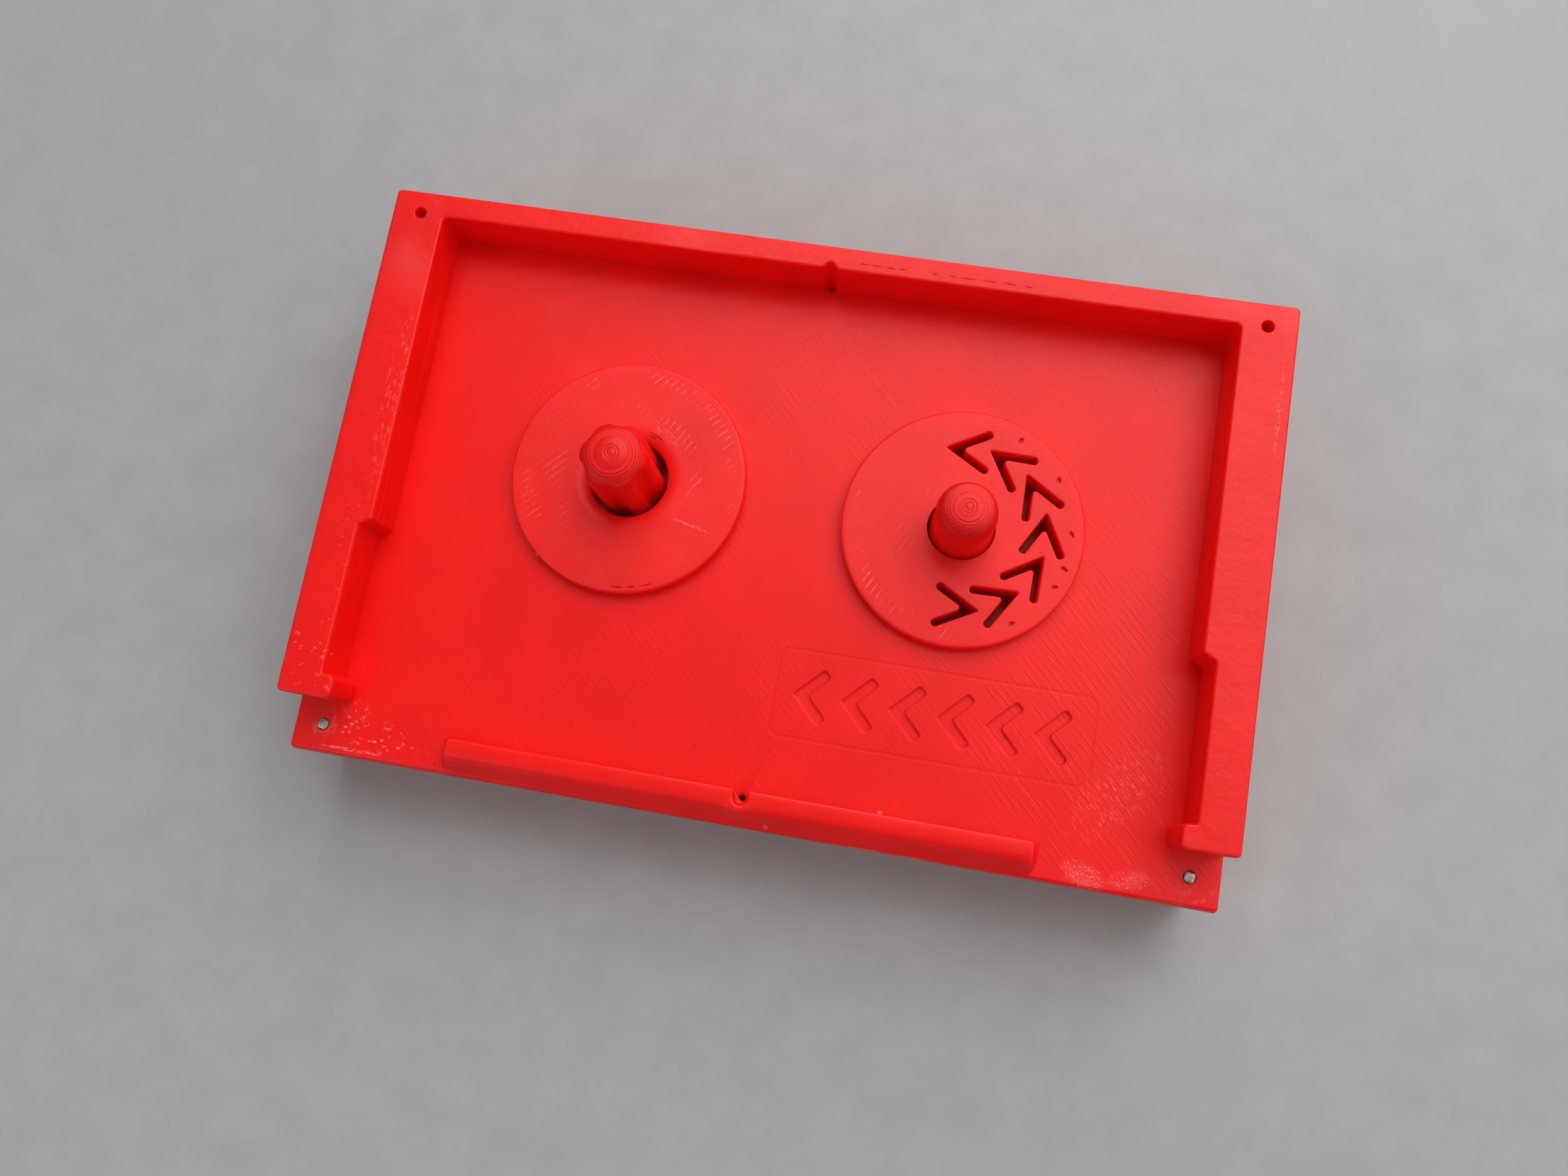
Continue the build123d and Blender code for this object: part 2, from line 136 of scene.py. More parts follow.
def smooth_min(a: Array, b: Array, blend: float) -> Array:
    """Lesser of two values, with the corner where they cross rounded over a width of blend."""
    return 0.5 * (a + b - np.sqrt((a - b) ** 2 + blend**2))


def smooth_max(a: Array, b: Array, blend: float) -> Array:
    """Greater of two values, with the corner where they cross rounded over a width of blend."""
    return -smooth_min(-np.asarray(a), -np.asarray(b), blend)


def smooth_step(values: Array, low: float, high: float) -> Array:
    """Cubic ease from 0 at low to 1 at high."""
    t = np.clip((values - low) / (high - low), 0, 1)
    return t * t * (3 - 2 * t)


def ring_angles(count: int) -> Array:
    """Angles in radians of the points round a full ring."""
    return np.arange(count) * FULL_TURN / count


def polar(x: float, y: float, radius: Union[Array, float], angle: Union[Array, float]) -> Array:
    """Plan points at a radius and an angle in radians round an axis."""
    return np.stack([x + radius * np.cos(angle), y + radius * np.sin(angle)], axis=-1)


def turned(points: Array, angle: float) -> Array:
    """Plan points turned about the origin by an angle in radians."""
    c, s = math.cos(angle), math.sin(angle)
    return points @ np.array([[c, s], [-s, c]])


def square(half: float, angle: Array) -> Array:
    """Radius of a square by angle: half its width over the greater of |cos| and |sin|."""
    return half / np.maximum(np.abs(np.cos(angle)), np.abs(np.sin(angle)))


def arc(x: float, y: float, radius: float, start: float, end: float, count: int) -> Array:
    """Points of a circular arc between two angles in degrees, both ends included."""
    return polar(x, y, radius, np.radians(np.linspace(start, end, count)))


def circle(x: float, y: float, radius: float, count: int = 64) -> Array:
    """Closed anticlockwise circle without a repeated end point."""
    return arc(x, y, radius, 0, 360, count + 1)[:-1]


def rounded(corners: Sequence[Sequence[float]], turns: int = 6) -> Array:
    """Closed outline whose corners are replaced by tangent arcs.

    At a corner with half angle h between its two sides and arc radius r, the arc starts r / tan h
    along each side and its centre lies r / sin h along the corner's bisector.

    Args:
        corners: rows of x, y and arc radius, anticlockwise; a radius of 0 keeps the corner.
        turns: points on each arc.

    Returns:
        The outline's points, one row each.
    """
    table = np.array(corners, float)
    place, radius = table[:, :2], table[:, 2:]
    back = unit(np.roll(place, 1, axis=0) - place)
    ahead = unit(np.roll(place, -1, axis=0) - place)
    half = np.arccos(np.clip((back * ahead).sum(axis=1, keepdims=True), -1, 1)) / 2
    centre = place + unit(back + ahead) * radius / np.sin(half)
    start = place + back * radius / np.tan(half) - centre
    end = place + ahead * radius / np.tan(half) - centre
    first = np.arctan2(start[:, 1], start[:, 0])
    sweep = (np.arctan2(end[:, 1], end[:, 0]) - first + math.pi) % FULL_TURN - math.pi
    angle = first[:, None] + sweep[:, None] * np.linspace(0, 1, turns)
    points = centre[:, None] + radius[:, None] * np.stack([np.cos(angle), np.sin(angle)], axis=2)
    points = points.reshape(-1, 2)
    gap = np.linalg.norm(points - np.roll(points, 1, axis=0), axis=1)
    return points[gap > 1e-5]


def inset(loop: Array, distances: Array) -> Array:
    """Copies of an anticlockwise outline moved to its inner side.

    Each point moves along the mitre of its two sides' normals, (n0 + n1) / (1 + n0 . n1), so every
    side keeps its direction.

    Args:
        loop: the outline's points.
        distances: how far each copy moves; below 0 it moves to the outer side.

    Returns:
        One outline per distance.
    """
    before, after = unit(loop - np.roll(loop, 1, axis=0)), unit(np.roll(loop, -1, axis=0) - loop)
    n0 = np.stack([-before[:, 1], before[:, 0]], axis=1)
    n1 = np.stack([-after[:, 1], after[:, 0]], axis=1)
    mitre = (n0 + n1) / (1 + (n0 * n1).sum(axis=1, keepdims=True))
    return loop + np.asarray(distances, float)[:, None, None] * mitre


def soft_profile(bottom: float, top: float, low: float, high: float, turns: int = 4) -> Array:
    """Side profile of a slab, with a quarter arc at its lower and its upper edge.

    Rows are inset and height.  One narrow flat ring beside each arc keeps the flat face's shading
    flat.

    Args:
        bottom: height of the lower face.
        top: height of the upper face.
        low: radius of the lower arc, 0 for a square edge.
        high: radius of the upper arc.
        turns: steps along each arc.

    Returns:
        The rows, from the lower face to the upper one.
    """
    t = np.linspace(0, math.pi / 2, turns + 1)
    lip = 0.03
    lower = np.stack([low * (1 - np.sin(t)), bottom + low * (1 - np.cos(t))], axis=1)
    upper = np.stack([high * (1 - np.cos(t)), top - high * (1 - np.sin(t))], axis=1)
    start = [[low + lip, bottom]] if low else []
    return np.vstack([*start, lower if low else [[0, bottom]], upper, [[high + lip, top]]])


def inside(points: Array, loops: Sequence[Array]) -> Array:
    """Whether each point lies inside an odd number of closed outlines, by crossings of a ray.

    Args:
        points: rows of x and y.
        loops: the outlines.

    Returns:
        One answer per point.
    """
    odd = np.zeros(len(points), bool)
    for loop in loops:
        a, b = loop[None], np.roll(loop, -1, axis=0)[None]
        x, y = points[:, :1], points[:, 1:]
        spans = (a[..., 1] > y) != (b[..., 1] > y)
        rise = np.where(spans, b[..., 1] - a[..., 1], 1.0)
        meets = a[..., 0] + (y - a[..., 1]) * (b[..., 0] - a[..., 0]) / rise
        odd ^= (spans & (x < meets)).sum(axis=1) % 2 == 1
    return odd


# ---------------------------------------------------------------- skins


class Skin:
    """Points and faces of one or more closed surfaces, gathered as arrays and made one mesh."""

    def __init__(self) -> None:
        """Starts with no points."""
        self.points: list[Array] = []
        self.quads: list[Array] = []
        self.triangles: list[Array] = []
        self.count = 0

    def add(self, points: Array) -> Array:
        """Adds points.

        Args:
            points: positions of shape (..., 3).

        Returns:
            Their numbers, in the same shape.
        """
        number = self.count + np.arange(points[..., 0].size).reshape(points.shape[:-1])
        self.points.append(points.reshape(-1, 3))
        self.count += number.size
        return number

    def rings(self, points: Array, closed: bool = False, flip: bool = False) -> Array:
        """Adds closed rings and the quads between them.

        A quad faces along (direction round the ring) x (direction to the next ring).

        Args:
            points: positions of shape (rings, points per ring, 3).
            closed: whether the last ring meets the first one.
            flip: whether the faces point the other way.

        Returns:
            The points' numbers, of shape (rings, points per ring).
        """
        number = self.add(points)
        following = np.roll(number, -1, axis=0) if closed else number[1:]
        this = number if closed else number[:-1]
        quads = np.stack(
            [this, np.roll(this, -1, axis=1), np.roll(following, -1, axis=1), following], axis=2
        ).reshape(-1, 4)
        self.quads.append(quads[:, ::-1] if flip else quads)
        return number

    def levels(
        self, plan: Array, heights: Array, closed: bool = False, flip: bool = False
    ) -> Array:
        """Adds closed plan outlines as rings, each at its height or at a height per point."""
        heights = np.broadcast_to(heights.reshape(len(plan), -1, 1), (*plan.shape[:2], 1))
        return self.rings(np.concatenate([plan, heights], axis=2), closed, flip)

    def pole(self, ring: Array, point: Sequence[float], first: bool) -> None:
        """Closes a ring with a fan to one point.

        Args:
            ring: numbers of the ring's points.
            point: where the fan meets.
            first: whether the point comes before the ring in its stack.
        """
        tip = np.full(len(ring), self.add(np.array([point], float))[0])
        after = np.roll(ring, -1)
        self.triangles.append(np.stack([tip, after, ring] if first else [ring, after, tip], axis=1))

    def wall(self, loop: Array, profile: Array, void: bool = False) -> Array:
        """Carries rows of inset and height along an outline; a void's go outwards and face in."""
        plan = inset(loop, -profile[:, 0] if void else profile[:, 0])
        return self.levels(plan, profile[:, 1], flip=void)

    def fill(self, loops: Sequence[Array], up: bool) -> None:
        """Fills the flat region between an outline and the holes in it with triangles.

        Args:
            loops: numbers of each closed loop's points, the outer one and any holes.
            up: whether the faces look up.
        """
        everything = np.concatenate(self.points)
        plans = [everything[loop, :2] for loop in loops]
        numbers = np.concatenate(loops)
        flat = np.concatenate(plans)
        ends = np.cumsum([len(loop) for loop in loops])
        after = np.arange(1, ends[-1] + 1)
        after[ends - 1] = np.concatenate([[0], ends[:-1]])
        edges = np.stack([np.arange(ends[-1]), after], axis=1).tolist()
        made = delaunay_2d_cdt([Vector(p) for p in flat.tolist()], edges, [], 1, 1e-6, True)
        source = np.array([ids[0] for ids in made[3]])
        faces = source[np.array(made[2])]
        middle = flat[faces].mean(axis=1)
        faces = faces[inside(middle, plans)]
        one, two = flat[faces[:, 1]] - flat[faces[:, 0]], flat[faces[:, 2]] - flat[faces[:, 0]]
        looks_up = one[:, 0] * two[:, 1] - one[:, 1] * two[:, 0] > 0
        faces = np.where((looks_up == up)[:, None], faces, faces[:, ::-1])
        self.triangles.append(numbers[faces])

    def bore(self, outline: Array, profile: Array, low: list[Array], high: list[Array]) -> None:
        """Adds a through hole's wall, and its end rings to the lower and upper faces' loops.

        Args:
            outline: the hole's plan outline.
            profile: rows of inset and height.
            low: loops of the lower face.
            high: loops of the upper face.
        """
        ring = self.wall(outline, profile, True)
        low.append(ring[0])
        high.append(ring[-1])

    def pocket(self, outline: Array, profile: Array, high: list[Array]) -> None:
        """Adds a blind hole's wall and bottom, and its rim to the upper face's loops.

        Args:
            outline: the hole's plan outline.
            profile: rows of inset and height.
            high: loops of the upper face.
        """
        ring = self.wall(outline, profile, True)
        self.fill([ring[0]], True)
        high.append(ring[-1])

    def lathe(self, x: float, y: float, rows: Rows, count: int, hollow: bool = False) -> None:
        """Closed surface round an upright axis, whose radius may vary with the angle.

        A ring's points lie at (x + r cos a, y + r sin a, z), with a from 0 round to a full turn.
        A solid starts and ends in a pole on the axis; a hollow one's last ring meets its first.

        Args:
            x: the axis's X.
            y: the axis's Y.
            rows: radius and height of each ring, each one number or one for every angle.
            count: points round a ring.
            hollow: whether the axis lies in a bore that runs right through.
        """
        table = np.array([np.broadcast_arrays(*row, np.zeros(count))[:2] for row in rows])
        plan = polar(x, y, table[:, 0], ring_angles(count))
        number = self.levels(plan, table[:, 1], closed=hollow)
        if not hollow:
            self.pole(number[0], (x, y, table[0, 1].mean()), True)
            self.pole(number[-1], (x, y, table[-1, 1].mean()), False)

    def tube(self, path: Array, radii: Array, sides: int = 8, tall: float = 1.0) -> None:
        """Closed round strand along a path.

        Round each path point p the ring is p + r (cos a side + tall sin a up), where side is level
        and square to the path, and up is square to both.

        Args:
            path: points along the middle.
            radii: radius at each of them.
            sides: points round the strand.
            tall: height of the section as a share of its width.
        """
        along = unit(np.gradient(path, axis=0))
        side = unit(np.cross(along, [0.0, 0.0, 1.0]))
        up = np.cross(side, along)
        a = ring_angles(sides)[None, :, None]
        ring = np.cos(a) * side[:, None] + tall * np.sin(a) * up[:, None]
        number = self.rings(path[:, None] + radii[:, None, None] * ring, flip=True)
        tips = path[[0, -1]] + along[[0, -1]] * radii[[0, -1], None] * [[-1], [1]]
        after = np.roll(np.arange(sides), -1)
        for row, tip, order in ((0, tips[0], 1), (-1, tips[1], -1)):
            end = np.full(sides, self.add(tip[None])[0])
            fan = np.stack([end, number[row], number[row][after]], axis=1)
            self.triangles.append(fan[:, ::order])

    def piece(self, name: str) -> bpy.types.Object:
        """Makes the mesh in metres, and a new object of this name for it at the origin.

        Args:
            name: the object's and the mesh's name.

        Returns:
            The object.
        """
        mesh = bpy.data.meshes.new(name)
        points = np.concatenate(self.points) * MM
        quads = np.concatenate([np.zeros((0, 4), int), *self.quads])
        triangles = np.concatenate([np.zeros((0, 3), int), *self.triangles])
        corners = np.concatenate([quads.ravel(), triangles.ravel()])
        starts = np.concatenate(
            [np.arange(len(quads)) * 4, len(quads) * 4 + np.arange(len(triangles)) * 3]
        )
        mesh.vertices.add(len(points))
        mesh.vertices.foreach_set("co", points.astype(np.float32).ravel())
        mesh.loops.add(len(corners))
        mesh.loops.foreach_set("vertex_index", corners.astype(np.int32))
        mesh.polygons.add(len(starts))
        mesh.polygons.foreach_set("loop_start", starts.astype(np.int32))
        mesh.update(calc_edges=True)
        mesh.validate()
        smooth(mesh)
        return placed(name, mesh)


def placed(name: str, data: Optional[bpy.types.ID]) -> bpy.types.Object:
    """New object for a mesh, a lamp or a camera, linked to the scene at the origin.

    Args:
        name: the object's name.
        data: what it shows.

    Returns:
        The object.
    """
    made = bpy.data.objects.new(name, data)
    bpy.context.scene.collection.objects.link(made)
    return made


def smooth(mesh: bpy.types.Mesh) -> None:
    """Shades a mesh smooth, with its sharp edges kept crisp."""
    mesh.shade_smooth()
    mesh.set_sharp_from_angle(angle=math.radians(CRISP))


def combine(target: bpy.types.Object, tool: bpy.types.Object, join: Join) -> None:
    """Joins a closed tool skin to a target, or cuts it out, and keeps one clean mesh.

    Args:
        target: the piece that stays.
        tool: the piece that is used up.
        join: whether the tool is added or cut away.
    """
    step = target.modifiers.new(join.value.lower(), "BOOLEAN")
    step.operation = join.value
    step.solver = "EXACT"
    step.object = tool
    bpy.context.view_layer.update()
    shown = target.evaluated_get(bpy.context.evaluated_depsgraph_get())
    mesh = bpy.data.meshes.new_from_object(shown)
    target.modifiers.clear()
    old, target.data = target.data, mesh
    mesh.name = target.name
    bpy.data.meshes.remove(old)
    bpy.data.meshes.remove(tool.data)
    smooth(mesh)


def weld(piece: bpy.types.Object, reach: float = 1e-6) -> None:
    """Merges a piece's points that lie within a reach in metres, and drops what has no area.

    Args:
        piece: the object to clean.
        reach: greatest distance that is merged.
    """
    work = bmesh.new()
    work.from_mesh(piece.data)
    bmesh.ops.remove_doubles(work, verts=work.verts, dist=reach)
    bmesh.ops.dissolve_degenerate(work, dist=reach, edges=work.edges)
    work.to_mesh(piece.data)
    work.free()


def joined_copy(source: bpy.types.Object, name: str) -> bpy.types.Object:
    """Copy of a CAD node as a new object, its loose triangles merged into flat faces.

    Args:
        source: the CAD node, which is left alone.
        name: the new piece's name.

    Returns:
        The new object, at the origin.
    """
    mesh = source.data.copy()
    mesh.name = name
    mesh.materials.clear()
    work = bmesh.new()
    work.from_mesh(mesh)
    bmesh.ops.remove_doubles(work, verts=work.verts, dist=SAME_POINT)
    bmesh.ops.dissolve_limit(
        work, angle_limit=math.radians(FLAT), verts=work.verts, edges=work.edges, delimit={"NORMAL"}
    )
    work.to_mesh(mesh)
    work.free()
    return placed(name, mesh)


# ---------------------------------------------------------------- finishes


class Wire:
    """A number that runs between nodes; arithmetic on it adds Math nodes."""

    def __init__(self, bench: "Bench", socket: Socket) -> None:
        """Keeps the socket and the bench that lays out its tree."""
        self.bench, self.socket = bench, socket

    def __add__(self, other: "Value") -> "Wire":
        """This plus another."""
        return self.bench.math("ADD", self, other)

    def __sub__(self, other: "Value") -> "Wire":
        """This less another."""
        return self.bench.math("SUBTRACT", self, other)

    def __mul__(self, other: "Value") -> "Wire":
        """This times another."""
        return self.bench.math("MULTIPLY", self, other)

    def __truediv__(self, other: "Value") -> "Wire":
        """This divided by another."""
        return self.bench.math("DIVIDE", self, other)

    def __abs__(self) -> "Wire":
        """This without its sign."""
        return self.bench.math("ABSOLUTE", self)


Value = Union[Wire, Socket, float]


class Bench:
    """Lays out one material's nodes, in millimetres of the piece's own Object coordinates."""

    def __init__(self, name: str) -> None:
        """Starts a material with its shader, its output and the coordinates in millimetres.

        Args:
            name: the material's name.
        """
        self.material = bpy.data.materials.new(name)
        self.material.use_nodes = True
        self.tree = self.material.node_tree
        self.tree.nodes.clear()
        self.shader = self.node("ShaderNodeBsdfPrincipled")
        self.surface = self.node("ShaderNodeOutputMaterial").inputs["Surface"]
        self.feed(self.surface, self.shader.outputs["BSDF"])
        scale = self.node("ShaderNodeMapping")
        scale.inputs["Scale"].default_value = (1 / MM,) * 3
        self.feed(scale.inputs["Vector"], self.node("ShaderNodeTexCoord").outputs["Object"])
        self.place = scale.outputs["Vector"]
        self.x, self.y, self.z = self.axes(self.place)
        self.rise = self.axes(self.node("ShaderNodeNewGeometry").outputs["Normal"])[2]

    def node(self, kind: str, **settings: Union[str, bool]) -> bpy.types.Node:
        """Adds a node and sets its own properties.

        Args:
            kind: the node's type.
            settings: its own properties.

        Returns:
            The node.
        """
        made = self.tree.nodes.new(kind)
        for key, value in settings.items():
            setattr(made, key, value)
        return made

    def feed(self, socket: Socket, value: Union[Value, Sequence[float]]) -> None:
        """Links a socket, or sets its value.

        Args:
            socket: an input.
            value: a wire, a socket or plain numbers.
        """
        value = value.socket if isinstance(value, Wire) else value
        if isinstance(value, bpy.types.NodeSocket):
            self.tree.links.new(value, socket)
        else:
            socket.default_value = value

    def shade(self, **inputs: Union[Value, Sequence[float]]) -> None:
        """Feeds the shader's inputs, whose names are written with _ for each space."""
        for name, value in inputs.items():
            self.feed(self.shader.inputs[name.replace("_", " ")], value)

    def axes(self, vector: Socket) -> tuple[Wire, ...]:
        """X, Y and Z of a vector.

        Args:
            vector: the socket that carries it.

        Returns:
            The three parts.
        """
        parts = self.node("ShaderNodeSeparateXYZ")
        self.feed(parts.inputs[0], vector)
        return tuple(Wire(self, socket) for socket in parts.outputs)

    def math(self, operation: str, *values: Value, clamp: bool = False) -> Wire:
        """Result of a Math node.

        Args:
            operation: the node's operation.
            values: its inputs, in order.
            clamp: whether the result is kept between 0 and 1.

        Returns:
            The result.
        """
        made = self.node("ShaderNodeMath", operation=operation, use_clamp=clamp)
        for socket, value in zip(made.inputs, values):
            self.feed(socket, value)
        return Wire(self, made.outputs[0])

    def ramp(self, value: Value, low: float, high: float, top: float = 1.0) -> Wire:
        """Smooth climb from 0 where the value is low to top where it is high.

        Args:
            value: what is measured.
            low: where the climb starts.
            high: where it ends.
            top: its height.

        Returns:
            The climb.
        """
        made = self.node("ShaderNodeMapRange", interpolation_type="SMOOTHSTEP")
        for socket, number in zip(made.inputs, (value, low, high, 0.0, top)):
            self.feed(socket, number)
        return Wire(self, made.outputs[0])

    def within(self, centre: Point, reach: Point, turn: float = 0.0) -> Socket:
        """Place in a frame that is centred, turned about Z by degrees and divided by a reach.

        Args:
            centre: the frame's origin.
            reach: its three units of length.
            turn: its turn about Z in degrees.

        Returns:
            The socket of the place.
        """
        made = self.node("ShaderNodeMapping", vector_type="TEXTURE")
        values = (self.place, centre, (0, 0, math.radians(turn)), reach)
        for name, value in zip(("Vector", "Location", "Rotation", "Scale"), values):
            self.feed(made.inputs[name], value)
        return made.outputs["Vector"]

    def noise(
        self, grain: Point, turn: float = 0.0, detail: float = 2.0, rough: float = 0.5
    ) -> Wire:
        """Soft noise whose features have the grain's lengths in millimetres.

        Args:
            grain: lengths along the three axes.
            turn: turn about Z in degrees.
            detail: number of finer layers.
            rough: how strong these are.

        Returns:
            The noise, mostly between 0.3 and 0.7.
        """
        made = self.node("ShaderNodeTexNoise")
        values = (self.within((0, 0, 0), grain, turn), 1.0, detail, rough)
        for name, value in zip(("Vector", "Scale", "Detail", "Roughness"), values):
            self.feed(made.inputs[name], value)
        return Wire(self, made.outputs["Fac"])

    def distance(self, x: float, y: float) -> Wire:
        """Distance in plan from an upright axis."""
        across, along = self.x - x, self.y - y
        return self.math("SQRT", across * across + along * along)

    def wave(self, value: Wire, pitch: float) -> Wire:
        """Cosine from -1 to 1 that repeats every pitch millimetres."""
        return self.math("COSINE", value * (FULL_TURN / pitch))

    def mix(self, share: Value, first: Union[Socket, Colour], second: Colour) -> Socket:
        """Colour between two, by share.

        Args:
            share: 0 for the first colour, 1 for the second.
            first: a colour, or a socket that carries one.
            second: a colour.

        Returns:
            The socket of the mixed colour.
        """
        made = self.node("ShaderNodeMix", data_type="RGBA")
        self.feed(made.inputs[0], share)
        for socket, value in ((made.inputs[6], first), (made.inputs[7], second)):
            self.feed(socket, (*value, 1.0) if isinstance(value, tuple) else value)
        return made.outputs[2]

    def relief(self, height: Wire, depth: float) -> Socket:
        """Bump normal for a height from 0 to 1 that stands for a depth in millimetres.

        Args:
            height: from 0 to 1.
            depth: what 1 stands for.

        Returns:
            The socket of the normal.
        """
        made = self.node("ShaderNodeBump")
        for name, value in (("Strength", 1.0), ("Distance", depth * MM), ("Height", height)):
            self.feed(made.inputs[name], value)
        return made.outputs["Normal"]


@dataclass(frozen=True)
class Patch:
    """One marked place: an ellipsoid, the lengths of its marks and how far they show; most are
    scuffs, one on the tray is a painted highlight.
    """

    centre: Point
    reach: Point
    grain: Point
    turn: float = 0.0
    low: float = 0.52
    high: float = 0.66
    strength: float = 0.5
    kind: Mark = Mark.FLECKS

    def mask(self, bench: Bench) -> Wire:
        """Mask that is 1 on the marks and 0 off them, faded towards the ellipsoid's edge.

        Flecks are peaks of a noise.  Dots are cells round scattered points, kept in some places
        only and with a bitten outline.

        Args:
            bench: the material's bench.

        Returns:
            The mask.
        """
        length = bench.node("ShaderNodeVectorMath", operation="LENGTH")
        bench.feed(length.inputs[0], bench.within(self.centre, self.reach, self.turn))
        near = bench.ramp(length.outputs["Value"], 1.0, 0.55)
        if self.kind is Mark.FLECKS:
            grain = bench.noise(self.grain, self.turn, 3.0, 0.6)
            return near * bench.ramp(grain, self.low, self.high, self.strength)
        cells = bench.node("ShaderNodeTexVoronoi", feature="F1")
        bench.feed(cells.inputs["Vector"], bench.within((0, 0, 0), self.grain, self.turn))
        bench.feed(cells.inputs["Scale"], 1.0)
        marks = bench.ramp(cells.outputs["Distance"], self.high, self.low, self.strength)
        keep = bench.ramp(bench.noise((1.9, 1.9, 9.0), 0.0, 1.0), 0.42, 0.50)
        bite = bench.ramp(bench.noise((0.22, 0.30, 2.0), 35.0, 2.0, 0.7), 0.42, 0.54)
        return near * (marks * (keep * bite))


@dataclass(frozen=True)
class RingMarks:
    """Short pale strokes of painted sheen in a ring on a round face, all in one direction."""

    x: float
    y: float
    inner: float
    outer: float
    level: float
    turn: float
    toward: float
    spread: float
    strength: float
    pitch: float = 0.83

    def mask(self, bench: Bench) -> Wire:
        """Mask of the strokes between the two radii, on faces near the level.

        It fades where the cosine of the angle off the ring's own direction falls below the
        spread's.

        Args:
            bench: the material's bench.

        Returns:
            The mask.
        """
        away = bench.distance(self.x, self.y)
        aim, slant = math.radians(self.toward), math.radians(self.turn)
        along = (bench.x - self.x) * math.cos(aim) + (bench.y - self.y) * math.sin(aim)
        edge = math.cos(math.radians(self.spread))
        fan = bench.ramp(along / away, edge, edge + 0.35)
        ring = bench.ramp(away, self.inner, self.inner + 0.5)
        ring *= bench.ramp(away, self.outer, self.outer - 0.5)
        level = bench.ramp(abs(bench.z - self.level), 0.5, 0.2)
        lead = bench.y * math.cos(slant) - bench.x * math.sin(slant)
        lead += bench.noise((6.0, 6.0, 6.0), 0.0, 1.0) * 0.5
        strokes = bench.ramp(bench.wave(lead, self.pitch), 0.72, 0.98)
        strokes *= bench.ramp(bench.noise((0.5, 0.5, 4.0), self.turn, 2.0, 0.7), 0.38, 0.56)
        places = bench.ramp(bench.noise((3.2, 3.2, 9.0), 0.0, 1.0), 0.42, 0.62, self.strength)
        return ring * fan * level * (strokes * places)


